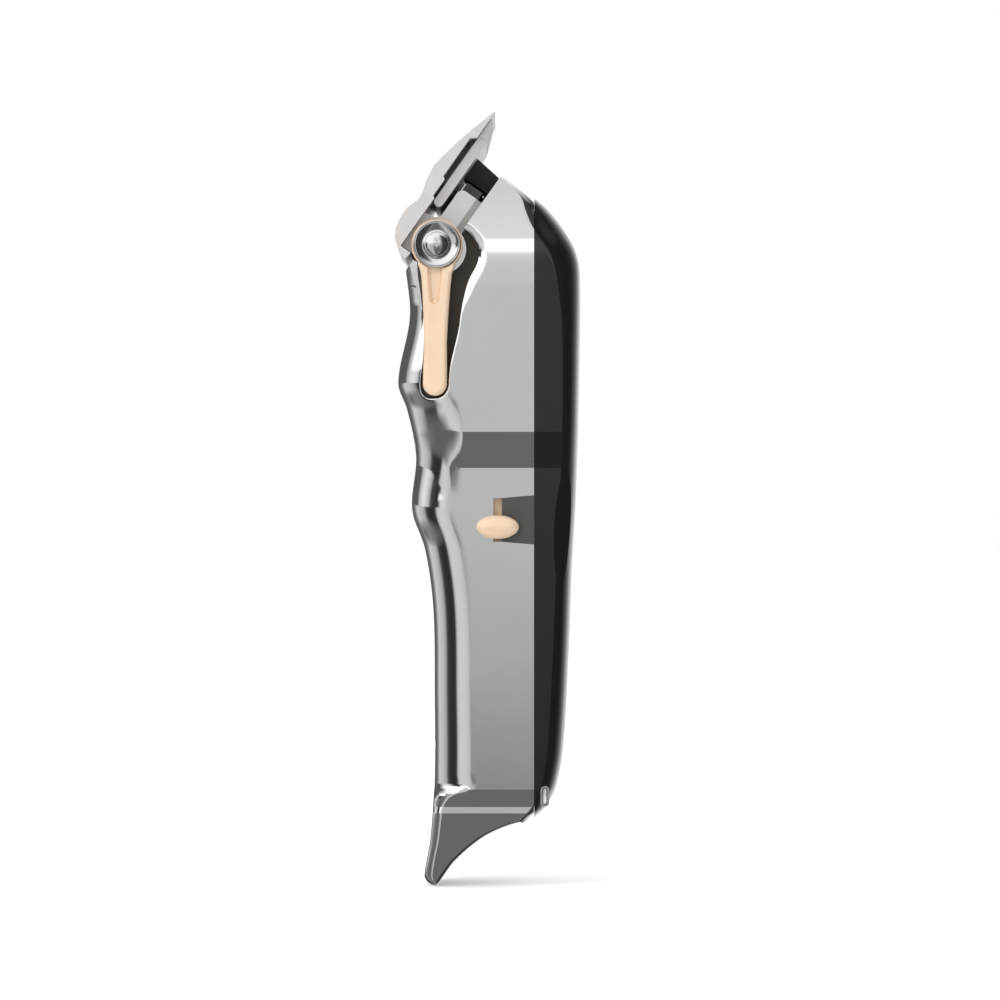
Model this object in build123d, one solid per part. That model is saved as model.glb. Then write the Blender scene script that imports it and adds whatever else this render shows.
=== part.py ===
from build123d import *
import os
from math import cos, radians, sin

# A cordless hair clipper standing on its tail, blade up.  Working frame, in millimetres:
# +Z runs from the tail to the blade, +X points out of the lid, Y is the width and the taper
# lever and power slide are on -Y.  X = 0 is the joint plane between housing and lid, Z = 0 is
# the tip of the tail.  Every node is written in the part frame, whose origin is the centre of
# the charging socket's mouth.

# ---------------------------------------------------------------- driving dimensions
LENGTH = 160.0                      # tail tip to tooth tips
SOCKET_X, SOCKET_Z = -5.0, 14.0     # mouth of the charging socket
WALL = 1.5                          # casing wall

# casing outline: (height, value) pairs joined by smooth curves
UNDERSIDE = [(0.0, -20.9), (0.3, -21.6), (1.0, -22.35), (2.3, -22.85), (10.5, -21.5), (22.8, -20.7),
             (39.3, -20.7), (57.8, -21.0), (70.1, -22.7), (78.4, -25.4), (89.7, -24.6), (98.9, -26.4),
             (104.7, -28.3), (118.5, -25.9), (129.4, -26.8), (150.0, -27.4)]
CREST = [(0.0, -3.0), (10.0, -3.0), (14.0, 0.0), (16.7, 2.6), (20.8, 4.6), (29.0, 6.1),
         (49.6, 7.3), (66.0, 7.9), (80.4, 8.7), (94.8, 9.15), (113.0, 9.5), (124.0, 9.55),
         (129.8, 9.2), (134.3, 7.5), (140.9, 2.6), (144.5, -2.0), (150.0, -9.7)]
BELLY_R = [(0.0, 1.7), (12.0, 1.9), (17.7, 2.5), (19.6, 4.2), (20.8, 8.2), (24.0, 8.2),
           (70.0, 8.2), (90.0, 9.7), (102.0, 11.0), (150.0, 11.0)]
CROWN_X = [(0.0, 2.4), (20.0, 3.5), (60.0, 3.6), (115.0, 4.0), (130.8, 6.0), (136.0, 7.0),
           (140.0, 5.6), (144.0, 2.6), (150.0, 1.9)]
SCOOP_R, SCOOP_DEPTH = 75.0, 0.9    # hand scoops on the lid's shoulders
SCOOP_X, SCOOP_Y, SCOOP_Z = 5.72, 18.83, 72.0
SCOOP_OUT = (0.75, 0.66)            # the way a scoop faces, in X and Y
CROWN_Y = 12.0                      # how far in from the side the lid's crown starts
HALF_TAIL = [(0.0, 8.6), (4.0, 11.0), (8.0, 13.0), (12.0, 15.2), (14.8, 16.7), (15.9, 17.0),
             (16.9, 17.03), (17.8, 17.3), (20.8, 19.5)]
HALF_HANDLE = 19.5
HALF_HEAD = 22.5
HALF_NOSE = 20.6                    # at the top of the nose
CREASE_Z = 20.8                     # the tail starts below this
WAIST_Z = (87.0, 94.4)              # facet where the head steps down to the handle
BROW_Z = 133.0                      # the nose slopes in above this
NOSE_Z = 149.0
CAVITY_Z = (16.5, 146.0)

# blade plane: s runs back from the tooth tips, t points out of the blade's skin side
TIP_X, TIP_Z = -8.1, LENGTH
BLADE_TILT = 54.7
BLADE_HALF = 23.0
BLADE_TOP = [(0.0, 0.18), (8.0, 2.35), (15.9, 3.9)]
BLADE_BACK = [(15.9, 3.9), (19.4, 3.45), (23.2, 2.5), (26.8, 3.4), (30.6, 3.05), (32.9, 1.95)]
BLADE_HEEL = (34.5, 0.0)
TOOTH_PITCH, TOOTH_GAP, TOOTH_DEPTH = 1.2, 0.55, 5.2
CUTTER_HALF = 19.8
CUTTER_S, CUTTER_T = (1.4, 22.6), (-0.08, -2.1)
CUTTER_PITCH, CUTTER_GAP, CUTTER_DEPTH = 1.7, 0.8, 4.4
SEAT_T = -8.5                       # plane of the housing's front face
BRACKET_HALF, CHEEK_INNER = 18.9, 15.0
BLADE_SCREW_S, BLADE_SCREW_Y = 29.0, 9.0
BRACKET_SCREW_S, BRACKET_SCREW_Y = 21.0, 17.0
FOLLOWER_SCREW_S, FOLLOWER_SCREW_Y = 11.5, 6.0

# taper lever
PIVOT_X, PIVOT_Z = -20.05, 132.85
LEVER_END_X, LEVER_END_Z, LEVER_END_R = -20.46, 104.27, 2.47
HUB_R, CUP_R, SCREW_R = 5.25, 4.9, 2.95
LEVER_Y = (-20.5, -23.5)
POCKET_FLOOR, LINER = -19.0, 0.5
CAM_OFFSET, CAM_R = 0.85, 5.15
CAM_PIN_ARM, CAM_PIN_R = 2.2, 0.9
SHAFT_CAM_R, BUSH_R = 1.8, 2.4      # cam shaft and the bush it turns in
LEVER_SWING = 35.0

# power slide
SLOT_X = (-8.5, -6.7)
SLOT_Z = (71.8, 80.8)
NOTCH_Z = (71.2, 81.4)              # where the plate beside the slot meets the joint plane
KNOB_X, KNOB_Z, KNOB_A, KNOB_B = -7.6, 74.85, 4.4, 2.45

# drive
MOTOR_X, MOTOR_R, MOTOR_Z = -6.5, 12.2, (95.0, 125.5)
MOTOR_SCREW_Y = 7.5
SHAFT_R, CRANK_ARM, CRANK_PIN_R = 1.15, 1.2, 1.0
CELL_X, CELL_R, CELL_Z = -8.5, 7.25, (25.0, 89.0)
POST_Y, POST_R, POST_Z = 10.5, 2.2, (30.0, 92.0)
GAP = 0.05                          # radial clearance of a screw or shaft in its hole


# ---------------------------------------------------------------- helpers
def smooth(points, z):
    """Height curve through (z, value) pairs with Catmull-Rom slopes."""
    z = min(max(z, points[0][0]), points[-1][0])
    i = max(k for k in range(len(points) - 1) if points[k][0] <= z)
    (z0, v0), (z1, v1) = points[i], points[i + 1]

    def slope(k):
        a, b = points[max(k - 1, 0)], points[min(k + 1, len(points) - 1)]
        return (b[1] - a[1]) / (b[0] - a[0])

    h, u = z1 - z0, (z - z0) / (z1 - z0)
    return ((2 * u**3 - 3 * u**2 + 1) * v0 + (u**3 - 2 * u**2 + u) * h * slope(i)
            + (3 * u**2 - 2 * u**3) * v1 + (u**3 - u**2) * h * slope(i + 1))


def half_width(z):
    """Half the casing's width at a height."""
    if z < CREASE_Z:
        return smooth(HALF_TAIL, z)
    if z < WAIST_Z[0]:
        return HALF_HANDLE
    if z < WAIST_Z[1]:
        return HALF_HANDLE + (HALF_HEAD - HALF_HANDLE) * (z - WAIST_Z[0]) / (WAIST_Z[1] - WAIST_Z[0])
    if z < BROW_Z:
        return HALF_HEAD
    return HALF_HEAD + (HALF_NOSE - HALF_HEAD) * (z - BROW_Z) / (NOSE_Z - BROW_Z)


def section(z, inset=0.0):
    """Cross-section of the whole casing at a height, shrunk by a wall."""
    low, high = smooth(UNDERSIDE, z) + inset, smooth(CREST, z) - inset
    half = half_width(z) - inset
    r = smooth(BELLY_R, z) - inset
    cx, cy = max(smooth(CROWN_X, z) - inset, 0.4), min(CROWN_Y, half + inset - 2.0) - inset
    outline = [
        Line((high - cx, -half), (low + r, -half)),
        CenterArc((low + r, -half + r), r, 270, -90),
        Line((low, -half + r), (low, half - r)),
        CenterArc((low + r, half - r), r, 180, -90),
        Line((low + r, half), (high - cx, half)),
        EllipticalCenterArc((high - cx, half - cy), cx, cy, 0, arc_size=90),
        Line((high, half - cy), (high, -half + cy)),
        EllipticalCenterArc((high - cx, -half + cy), cx, cy, 270, arc_size=90),
    ]
    return Pos(0, 0, z) * make_face(outline)


def stations(low, high, count):
    """Evenly spaced heights, both ends included."""
    return [low + (high - low) * i / count for i in range(count + 1)]


def side(face, y_from, y_to):
    """Extrude a face drawn in X and Z between two Y places."""
    low, high = min(y_from, y_to), max(y_from, y_to)
    return extrude(Plane((0, high, 0), x_dir=(1, 0, 0), z_dir=(0, -1, 0)) * face, high - low)


def blade_plane(y=0.0):
    """Plane whose X is s, whose Y is t and whose normal is +Y."""
    tilt = radians(BLADE_TILT)
    return Plane((TIP_X, y, TIP_Z), x_dir=(-cos(tilt), 0, -sin(tilt)), z_dir=(0, 1, 0))


def along_blade(face, y_from, y_to):
    """Extrude a face drawn in s and t between two Y places."""
    low, high = min(y_from, y_to), max(y_from, y_to)
    return extrude(blade_plane(low) * face, high - low)


def blade_point(s, t, y=0.0):
    """Place of a point given in blade coordinates."""
    return blade_plane(y).from_local_coords(Vector(s, t, 0))


def blade_axis(s, y, t=0.0):
    """Location whose Z axis points out of the blade's skin side."""
    tilt = radians(BLADE_TILT)
    out = (-sin(tilt), 0, cos(tilt))
    return Plane(blade_point(s, t, y), x_dir=(0, 1, 0), z_dir=out)


def face_of(*points):
    """Face with straight sides through the points."""
    return make_face(Polyline(*points, close=True))


def rod(x, z, y_from, y_to, radius):
    """Cylinder along Y."""
    return side(Pos(x, z) * Circle(radius), y_from, y_to)


def post(x_from, x_to, y, z, radius):
    """Cylinder along X."""
    return extrude(Plane((x_from, y, z), z_dir=(1, 0, 0)) * Circle(radius), x_to - x_from)


def disc(x, z_from, z_to, radius, y=0.0):
    """Cylinder along Z."""
    return Pos(x, y, (z_from + z_to) / 2) * Cylinder(radius, z_to - z_from)


def block(x, y, z):
    """Box between two X, two Y and two Z places."""
    middle = Pos(sum(x) / 2, sum(y) / 2, sum(z) / 2)
    return middle * Box(abs(x[1] - x[0]), abs(y[1] - y[0]), abs(z[1] - z[0]))


# ---------------------------------------------------------------- casing
def lofted(runs, inset=0.0):
    """One loft for each (low, high, count) run of heights, joined at the creases."""
    lofts = [loft([section(z, inset) for z in stations(*run)]) for run in runs]
    solid = lofts[0]
    for run in lofts[1:]:
        solid += run
    return solid


def casing_solid():
    """Outer form of housing and lid together: one loft between each pair of creases."""
    solid = lofted([(0.0, CREASE_Z, 9), (CREASE_Z, WAIST_Z[0], 11), (*WAIST_Z, 2),
                    (WAIST_Z[1], BROW_Z, 8), (BROW_Z, NOSE_Z, 5)])
    tail = make_face([
        Spline((0.6, 14.0), (-6.5, 12.5), (-13.3, 8.4), (-17.4, 4.3), (-20.2, 0.0)),
        Polyline((-20.2, 0.0), (-20.2, -5.0), (20.0, -5.0), (20.0, 14.0), (0.6, 14.0)),
    ])
    return solid - side(tail, -30, 30)


def cavity_solid():
    """Room inside the casing, closed by a wall behind the front face."""
    room = lofted([(CAVITY_Z[0], CREASE_Z, 3), (CREASE_Z, WAIST_Z[0], 11), (*WAIST_Z, 2),
                   (WAIST_Z[1], BROW_Z, 8), (BROW_Z, CAVITY_Z[1], 4)], WALL)
    front = face_of((-20, SEAT_T - WALL), (60, SEAT_T - WALL), (60, 60), (-20, 60))
    behind_pocket = face_of((-9.4, 140), (-9.4, 127.5), (-12.2, 120), (-14.9, 111), (-15.6, 102),
                            (-18, 99.5), (-34, 99.5), (-34, 140))
    return room - along_blade(front, -30, 30) - side(behind_pocket, POCKET_FLOOR + LINER + 1.0, -30)


def pocket_outline():
    """Keyhole shape of the lever's recess, open towards the underside above the lever's shoulder."""
    return make_face([
        ThreePointArc((-16.6, 136.8), (-11.5, 131.9), (-12.1, 128.2)),
        Spline((-12.1, 128.2), (-13.95, 124.2), (-15.25, 117.8), (-16.5, 111.4), (-17.5, 105.2)),
        ThreePointArc((-17.5, 105.2), (-18.1, 102.6), (-20.4, 101.2)),
        Spline((-20.4, 101.2), (-22.6, 101.3), (-23.8, 102.7), (-24.0, 105.0), (-23.4, 112.0),
               (-23.5, 120.0), (-24.6, 124.6)),
        Polyline((-24.6, 124.6), (-34.0, 127.5), (-34.0, 142.0), (-16.6, 142.0), (-16.6, 136.8)),
    ])


def pocket_liner(casing):
    """Dark liner on the floor of the lever's recess."""
    front = face_of((-20, SEAT_T - 0.1), (32.1, SEAT_T - 0.1), (34.7, -3.7), (60, -3.3), (60, 60), (-20, 60))
    liner = side(pocket_outline(), POCKET_FLOOR, POCKET_FLOOR + LINER)
    return (liner & casing) - along_blade(front, -30, 30)


def switch_notch():
    """Opening in the near wall for the power slide, at the joint plane."""
    return face_of((0.2, NOTCH_Z[0]), (0.2, NOTCH_Z[1]), (SLOT_X[1], SLOT_Z[1]),
                   (SLOT_X[0], SLOT_Z[1]), (SLOT_X[0], SLOT_Z[0]), (SLOT_X[1], SLOT_Z[0]))


def lower_housing(casing, cavity):
    """Metal housing: grip, tail and nose, with bosses for the lid's screws."""
    shell = casing & block((-40, 0), (-30, 30), (-5, 170))
    shell -= cavity
    for z in POST_Z:
        for y in (-POST_Y, POST_Y):
            boss = post(-22.5, -12.2, y, z, POST_R + 0.6) & cavity
            shell += boss
    shell -= along_blade(face_of((-20, SEAT_T), (32.0, SEAT_T), (34.6, -3.6), (40, -3.2), (40, 40),
                                 (-20, 40)), -30, 30)
    shell -= along_blade(face_of((10.5, -20), (33.2, -20), (33.2, 0), (10.5, 0)), -15.2, 15.2)
    shell -= side(face_of((0.2, 141.5), (-7.3, 148.1), (-14, 154), (-14, 170), (0.2, 170)), -30, 30)
    shell -= side(pocket_outline(), POCKET_FLOOR + LINER, -30)
    shell -= side(switch_notch(), -15, -30)
    shell -= disc(SOCKET_X, 0, 25, 4.0 + GAP)
    for z in POST_Z:
        for y in (-POST_Y, POST_Y):
            shell -= post(-40, 0, y, z, 1.3 + GAP)
            shell -= post(-40, smooth(UNDERSIDE, z) + 1.2, y, z, 2.4 + GAP)
    for y in (-BRACKET_SCREW_Y, BRACKET_SCREW_Y):
        shell -= extrude(blade_axis(BRACKET_SCREW_S, y, -12.0) * Circle(1.0 + GAP), 6)
    return max(shell.solids(), key=lambda s: s.volume)


def top_lid(casing, cavity):
    """Gloss lid with hand scoops on its shoulders and four screw posts."""
    lid = casing & block((0, 40), (-30, 30), (-5, 170))
    lid -= cavity
    for z in POST_Z:
        for y in (-POST_Y, POST_Y):
            stem = post(-12.0, 8.0, y, z, POST_R)
            lid += stem & (cavity + block((-12.1, 0.5), (-20, 20), (z - 5, z + 5)))
            lid -= post(-13.0, 2.0, y, z, 1.3 + GAP)
    for y in (-1, 1):
        away = SCOOP_R - SCOOP_DEPTH
        centre = Pos(SCOOP_X + SCOOP_OUT[0] * away, y * (SCOOP_Y + SCOOP_OUT[1] * away), SCOOP_Z)
        lid -= centre * Sphere(SCOOP_R)
    lid -= side(indicator_outline(0.0), -10, -30)
    return max(lid.solids(), key=lambda s: s.volume)


def indicator_outline(grow):
    """Upright stadium of the charge indicator on the lid's lower corner."""
    return Pos(2.15, 19.3) * Rot(0, 0, 90) * SlotOverall(4.4 + 2 * grow, 1.9 + 2 * grow)


def indicator_bezel():
    """Bright ring around the indicator."""
    return side(indicator_outline(-GAP) - indicator_outline(-0.45), -14.2, -17.7)


def indicator_lens():
    """Clear light pipe inside the ring, domed at its outer end."""
    lens = side(indicator_outline(-0.45 - GAP), -13.6, -17.4)
    return fillet(lens.faces().sort_by(Axis.Y)[0].edges(), 0.35)


# ---------------------------------------------------------------- blades and their bracket
def screw(radius, head_r, head_h, length, cross):
    """Pan-head screw along Z, head's underside at the origin, with a cross recess."""
    head = Pos(0, 0, head_h / 2) * Cylinder(head_r, head_h)
    head = fillet(head.faces().sort_by(Axis.Z)[-1].edges(), head_h * 0.6)
    body = head + Pos(0, 0, -length / 2) * Cylinder(radius, length)
    for angle in (0, 90):
        body -= Pos(0, 0, head_h) * Rot(0, 0, angle) * Box(cross, head_r * 0.25, head_h)
    return body


def blade_bracket():
    """Cast bracket: two cheeks joined by the seat that the fixed blade is screwed to."""
    cheek = make_face([
        Polyline((16.6, -4.4), (16.6, SEAT_T + 0.05), (31.8, SEAT_T + 0.05), (33.3, -5.7), (33.3, 0.0),
                 (25.0, 0.0), (24.6, -2.3), (23.6, -3.1), (17.8, -3.1)),
        ThreePointArc((17.8, -3.1), (16.95, -3.5), (16.6, -4.4)),
    ])
    frame = along_blade(cheek, -BRACKET_HALF, -CHEEK_INNER) + along_blade(cheek, CHEEK_INNER, BRACKET_HALF)
    frame += along_blade(face_of((25.0, -2.3), (33.3, -2.3), (33.3, 0), (25.0, 0)),
                         -BRACKET_HALF, BRACKET_HALF)
    # the cheeks' outer lower edges are bevelled
    frame = chamfer(frame.edges().filter_by(lambda e: abs(abs(e.center().Y) - BRACKET_HALF) < 0.01
                    and abs(blade_plane().to_local_coords(e.center()).Y - SEAT_T - 0.05) < 0.01), 1.4)
    frame -= rod(PIVOT_X, PIVOT_Z, 0, -30, BUSH_R)
    for y in (-BLADE_SCREW_Y, BLADE_SCREW_Y):
        frame -= extrude(blade_axis(BLADE_SCREW_S, y, -3.0) * Circle(1.3 + GAP), 4)
    for y in (-BRACKET_SCREW_Y, BRACKET_SCREW_Y):
        frame -= extrude(blade_axis(BRACKET_SCREW_S, y, -9.0) * Circle(1.0 + GAP), 8)
        frame -= extrude(blade_axis(BRACKET_SCREW_S, y, -5.0) * Circle(1.75), 6)
    return frame


def bracket_screws():
    """Two screws that hold the bracket's cheeks to the housing."""
    return Compound([blade_axis(BRACKET_SCREW_S, y, -5.0) * screw(1.0, 1.7, 1.2, 5.0, 1.8)
                     for y in (-BRACKET_SCREW_Y, BRACKET_SCREW_Y)])


def comb_slots(pitch, gap, depth, half, s_from, t_low, t_high):
    """Row of slots between teeth."""
    count = int((2 * half - 1.6) / pitch)
    slots = []
    for i in range(count):
        y = (i - (count - 1) / 2) * pitch
        slots.append(along_blade(face_of((s_from - 3, t_low), (s_from + depth, t_low),
                                         (s_from + depth, t_high), (s_from - 3, t_high)),
                                 y - gap / 2, y + gap / 2))
    return slots


def fixed_blade():
    """Outer blade: toothed, hollow ground inside, waisted, with a heel lip."""
    outline = make_face([
        ThreePointArc(*BLADE_TOP),
        Spline(*BLADE_BACK),
        Polyline(BLADE_BACK[-1], BLADE_HEEL, (35.2, -2.3), (33.6, -2.5), (33.6, 0.0), (21.6, 0.0),
                 (21.3, 0.5), (17.2, 0.5), (16.9, 1.1), (7.4, 1.1), (6.4, 0.0), (0.0, 0.0), BLADE_TOP[0]),
    ])
    blade = along_blade(outline, -BLADE_HALF, BLADE_HALF)
    for slot in comb_slots(TOOTH_PITCH, TOOTH_GAP, TOOTH_DEPTH, BLADE_HALF, 0.0, -2, 6):
        blade -= slot
    for y in (-BLADE_SCREW_Y, BLADE_SCREW_Y):
        blade -= extrude(blade_axis(BLADE_SCREW_S, y, -1.0) * Circle(1.3 + GAP), 8)
        blade -= extrude(blade_axis(BLADE_SCREW_S, y, 1.9) * Circle(2.6), 8)
    return blade


def blade_screws():
    """Two screws through the fixed blade into the bracket."""
    return Compound([blade_axis(BLADE_SCREW_S, y, 1.95) * screw(1.3, 2.45, 1.5, 4.2, 2.9)
                     for y in (-BLADE_SCREW_Y, BLADE_SCREW_Y)])


def cutter_blade():
    """Inner blade: a bar with bevelled teeth that runs on the fixed blade."""
    s0, s1 = CUTTER_S
    t0, t1 = CUTTER_T
    mid = (t0 + t1) / 2
    outline = make_face([
        Polyline((s1 - 0.9, t0), (s0, t0), (s0, t0 - 0.25), (6.2, t1), (s1 - 0.9, t1)),
        ThreePointArc((s1 - 0.9, t1), (s1, mid), (s1 - 0.9, t0)),
    ])
    blade = along_blade(outline, -CUTTER_HALF, CUTTER_HALF)
    for slot in comb_slots(CUTTER_PITCH, CUTTER_GAP, CUTTER_DEPTH, CUTTER_HALF, s0, -4, 2):
        blade -= slot
    for y in (-FOLLOWER_SCREW_Y, FOLLOWER_SCREW_Y):
        blade -= extrude(blade_axis(FOLLOWER_SCREW_S, y, -4.0) * Circle(1.0 + GAP), 4.5)
    return blade


def cam_follower():
    """Block on the cutter whose fork takes the crank pin."""
    block_face = face_of((9.2, CUTTER_T[1]), (14.0, CUTTER_T[1]), (14.0, -7.9), (9.9, -7.9))
    body = along_blade(block_face, -9.5, 9.5)
    fork = along_blade(face_of((12.0, -7.5), (17.6, -7.5), (17.6, -12.2), (12.0, -12.2)), -5.6, 5.6)
    slot = block((MOTOR_X - 3.4, 4), (-3.8, 3.8), (130, 144.0))
    body += fork - slot
    for y in (-FOLLOWER_SCREW_Y, FOLLOWER_SCREW_Y):
        body -= extrude(blade_axis(FOLLOWER_SCREW_S, y, -8.5) * Circle(1.0 + GAP), 9)
        body -= extrude(blade_axis(FOLLOWER_SCREW_S, y, -8.5) * Circle(1.9), 3.5)
    return max(body.solids(), key=lambda s: s.volume)


def follower_screws():
    """Two screws that hold the follower to the cutter."""
    screws = []
    for y in (-FOLLOWER_SCREW_Y, FOLLOWER_SCREW_Y):
        place = blade_axis(FOLLOWER_SCREW_S, y, -5.0)
        screws.append(place * Rot(180, 0, 0) * screw(1.0, 1.75, 1.1, 4.6, 2.0))
    return Compound(screws)


def cutter_carrier():
    """Slide between the cheeks that the lever's cam moves along the blade."""
    plate = along_blade(face_of((14.7, -3.4), (30.9, -3.4), (30.9, -5.4), (18.5, -5.4), (18.0, -7.2),
                                (14.7, -7.2)), -14.6, 14.6)
    arm = along_blade(face_of((25.6, -3.4), (30.9, -3.4), (30.4, -10.2), (25.6, -10.2)), -14.6, -12.2)
    s_pin = 29.06 - CAM_PIN_ARM * sin(radians(LEVER_SWING / 2))
    slot = along_blade(face_of((s_pin - CAM_PIN_R - 0.1, -6.6), (s_pin + CAM_PIN_R + 0.1, -6.6),
                               (s_pin + CAM_PIN_R + 0.1, -9.4), (s_pin - CAM_PIN_R - 0.1, -9.4)), -16, -10)
    return plate + arm - slot


def tension_spring():
    """Wire spring on the carrier whose two ends bear on the cutter's back."""
    wires = []
    for y in (-11.6, 11.6):
        leg = Polyline(blade_point(24.2, -3.05, y), blade_point(18.0, -2.75, y), blade_point(15.2, -2.62, y))
        wires.append(sweep(Plane(blade_point(24.2, -3.05, y), z_dir=leg % 0) * Circle(0.32), path=leg,
                           transition=Transition.ROUND))
    bar_low, bar_high = blade_point(24.2, -3.05, -11.6), blade_point(24.2, -3.05, 11.6)
    bar = extrude(Plane(bar_low, z_dir=(0, 1, 0)) * Circle(0.32), (bar_high - bar_low).length)
    return wires[0] + wires[1] + bar


# ---------------------------------------------------------------- taper lever
def taper_lever():
    """Lever arm with a round hub, a tapered groove and a rounded end."""
    right, left = LEVER_END_X + LEVER_END_R, LEVER_END_X - LEVER_END_R
    outline = make_face([
        Spline((-17.2, 128.4), (-17.75, 120.0), (-18.15, 112.3), (right, LEVER_END_Z)),
        ThreePointArc((right, LEVER_END_Z), (LEVER_END_X, LEVER_END_Z - LEVER_END_R), (left, LEVER_END_Z)),
        Spline((left, LEVER_END_Z), (-22.75, 112.3), (-23.0, 120.0), (-23.4, 128.4)),
        Line((-23.4, 128.4), (-17.2, 128.4)),
    ])
    arm = side(outline, *LEVER_Y)
    rim = arm.faces().sort_by(Axis.Y)[0].edges().sort_by(Axis.Z)[:-1]
    arm = fillet(rim, 0.6)
    hub = rod(PIVOT_X, PIVOT_Z, *LEVER_Y, HUB_R)
    lever = arm + chamfer(hub.faces().sort_by(Axis.Y)[0].edges(), 0.15)
    groove = make_face([
        Line((-22.0, 129.0), (-18.7, 129.0)),
        Line((-18.7, 129.0), (-19.55, 121.5)),
        ThreePointArc((-19.55, 121.5), (-20.65, 120.6), (-21.75, 121.5)),
        Line((-21.75, 121.5), (-22.0, 129.0)),
    ])
    lever -= side(groove, LEVER_Y[1] + 0.9, -30)
    lever -= rod(PIVOT_X, PIVOT_Z, LEVER_Y[1] + 0.7, -30, CUP_R + GAP)
    return lever - rod(PIVOT_X, PIVOT_Z, -10, -30, SHAFT_CAM_R)


def eccentric_disc():
    """Cam disc behind the lever, off centre by the cam's throw."""
    x, z = PIVOT_X + CAM_OFFSET, PIVOT_Z - CAM_OFFSET
    return rod(x, z, POCKET_FLOOR - 0.2, LEVER_Y[0], CAM_R) - rod(PIVOT_X, PIVOT_Z, -10, -30, SHAFT_CAM_R)


def cam_shaft():
    """Shaft through the cheek, ending in the pin that moves the carrier."""
    rest = radians(BLADE_TILT - 90 + LEVER_SWING / 2)
    x, z = PIVOT_X + CAM_PIN_ARM * cos(rest), PIVOT_Z + CAM_PIN_ARM * sin(rest)
    shaft = rod(PIVOT_X, PIVOT_Z, -14.9, LEVER_Y[1] + 0.8, SHAFT_CAM_R)
    shaft += rod(PIVOT_X, PIVOT_Z, -14.75, -14.95, 3.2)
    shaft += rod(x, z, -12.3, -14.9, CAM_PIN_R)
    return shaft - rod(PIVOT_X, PIVOT_Z, -17.0, -30, 1.2 + GAP)


def pivot_bush():
    """Bush in the near cheek that the cam shaft turns in."""
    bush = rod(PIVOT_X, PIVOT_Z, -CHEEK_INNER, -BRACKET_HALF, BUSH_R)
    return bush - rod(PIVOT_X, PIVOT_Z, 0, -30, SHAFT_CAM_R + GAP)


def cup_washer():
    """Dished washer under the lever screw's head."""
    y = LEVER_Y[1] + 0.7
    profile = make_face(Polyline((1.3, 0.0), (CUP_R, 0.0), (CUP_R, 1.15), (CUP_R - 0.35, 1.3),
                                 (SCREW_R + 0.3, 0.45), (1.3, 0.45), close=True))
    ring = revolve(Plane.XZ * profile, Axis.Z)
    return Plane((PIVOT_X, y, PIVOT_Z), z_dir=(0, -1, 0)) * ring


def lever_screw():
    """Pan-head screw that clamps washer, lever and cam to the shaft."""
    y = LEVER_Y[1] + 0.7 - 0.45
    place = Plane((PIVOT_X, y, PIVOT_Z), x_dir=(1, 0, 0), z_dir=(0, -1, 0))
    return place * screw(1.2, SCREW_R, 1.7, 6.0, 2.6)


# ---------------------------------------------------------------- power slide
def switch_plate():
    """Dark plate that closes the notch beside the slide's slot."""
    outline = face_of((-GAP, NOTCH_Z[0] + GAP), (-GAP, NOTCH_Z[1] - GAP), (SLOT_X[1], SLOT_Z[1] - GAP),
                      (SLOT_X[1], SLOT_Z[0] + GAP))
    return side(outline, -HALF_HANDLE + WALL, -HALF_HANDLE + 0.05)


def switch_slider():
    """Slide behind the casing wall with the neck that carries the knob."""
    y_wall = -HALF_HANDLE + WALL
    plate = block((-9.6, -5.6), (y_wall + 1.3, y_wall + 0.1), (69.5, 83.2))
    neck = block((SLOT_X[0] + 0.15, SLOT_X[1] - 0.15), (y_wall + 1.0, -HALF_HANDLE - 0.9),
                 (KNOB_Z - 1.5, KNOB_Z + 1.5))
    return plate + neck


def switch_knob():
    """Oval thumb knob pressed on the slide's neck."""
    knob = side(Pos(KNOB_X, KNOB_Z) * Ellipse(KNOB_A, KNOB_B), -HALF_HANDLE - 0.2, -HALF_HANDLE - 2.5)
    knob = fillet(knob.faces().sort_by(Axis.Y)[0].edges(), 1.2)
    return knob - block((SLOT_X[0] + 0.1, SLOT_X[1] - 0.1), (0, -HALF_HANDLE - 0.95),
                        (KNOB_Z - 1.55, KNOB_Z + 1.55))


def switch_body():
    """Slide switch that the slider works."""
    body = block((-10.0, -5.0), (-10.8, -16.5), (68.5, 82.0))
    return body - block((-8.6, -6.4), (-14.5, -17.0), (71.5, 80.5))


# ---------------------------------------------------------------- drive and power
def motor_can():
    """Steel can of the motor with its front boss."""
    low, high = MOTOR_Z
    can = disc(MOTOR_X, low, high, MOTOR_R) - disc(MOTOR_X, low - 1, high - 1.0, MOTOR_R - 0.9)
    can += disc(MOTOR_X, high - 0.1, high + 1.6, 3.0)
    can -= disc(MOTOR_X, high - 3, high + 3, 2.2)
    for y in (-MOTOR_SCREW_Y, MOTOR_SCREW_Y):
        can -= disc(MOTOR_X, high - 3, high + 3, 0.85, y)
    return can


def motor_bush():
    """Sintered bush in the can's boss."""
    high = MOTOR_Z[1]
    return disc(MOTOR_X, high - 1.6, high + 1.6, 2.2) - disc(MOTOR_X, high - 4, high + 4, SHAFT_R + GAP)


def motor_magnets():
    """Two curved magnets against the can's wall."""
    ring = disc(MOTOR_X, 99.0, 121.0, MOTOR_R - 1.0) - disc(MOTOR_X, 98, 122, 9.4)
    return ring - block((MOTOR_X - 20, MOTOR_X + 20), (-3.0, 3.0), (90, 130))


def motor_end_cap():
    """Plastic rear cap with the rear bearing pocket."""
    low = MOTOR_Z[0]
    cap = disc(MOTOR_X, low, low + 2.6, MOTOR_R - 0.95)
    return cap - disc(MOTOR_X, low - 1, low + 6, SHAFT_R + GAP)


def motor_terminals():
    """Two solder tags on the rear cap."""
    low = MOTOR_Z[0]
    return Compound([block((MOTOR_X - 1.2, MOTOR_X + 1.2), (y - 0.25, y + 0.25), (low - 2.6, low))
                     for y in (-5.2, 5.2)])


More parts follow.
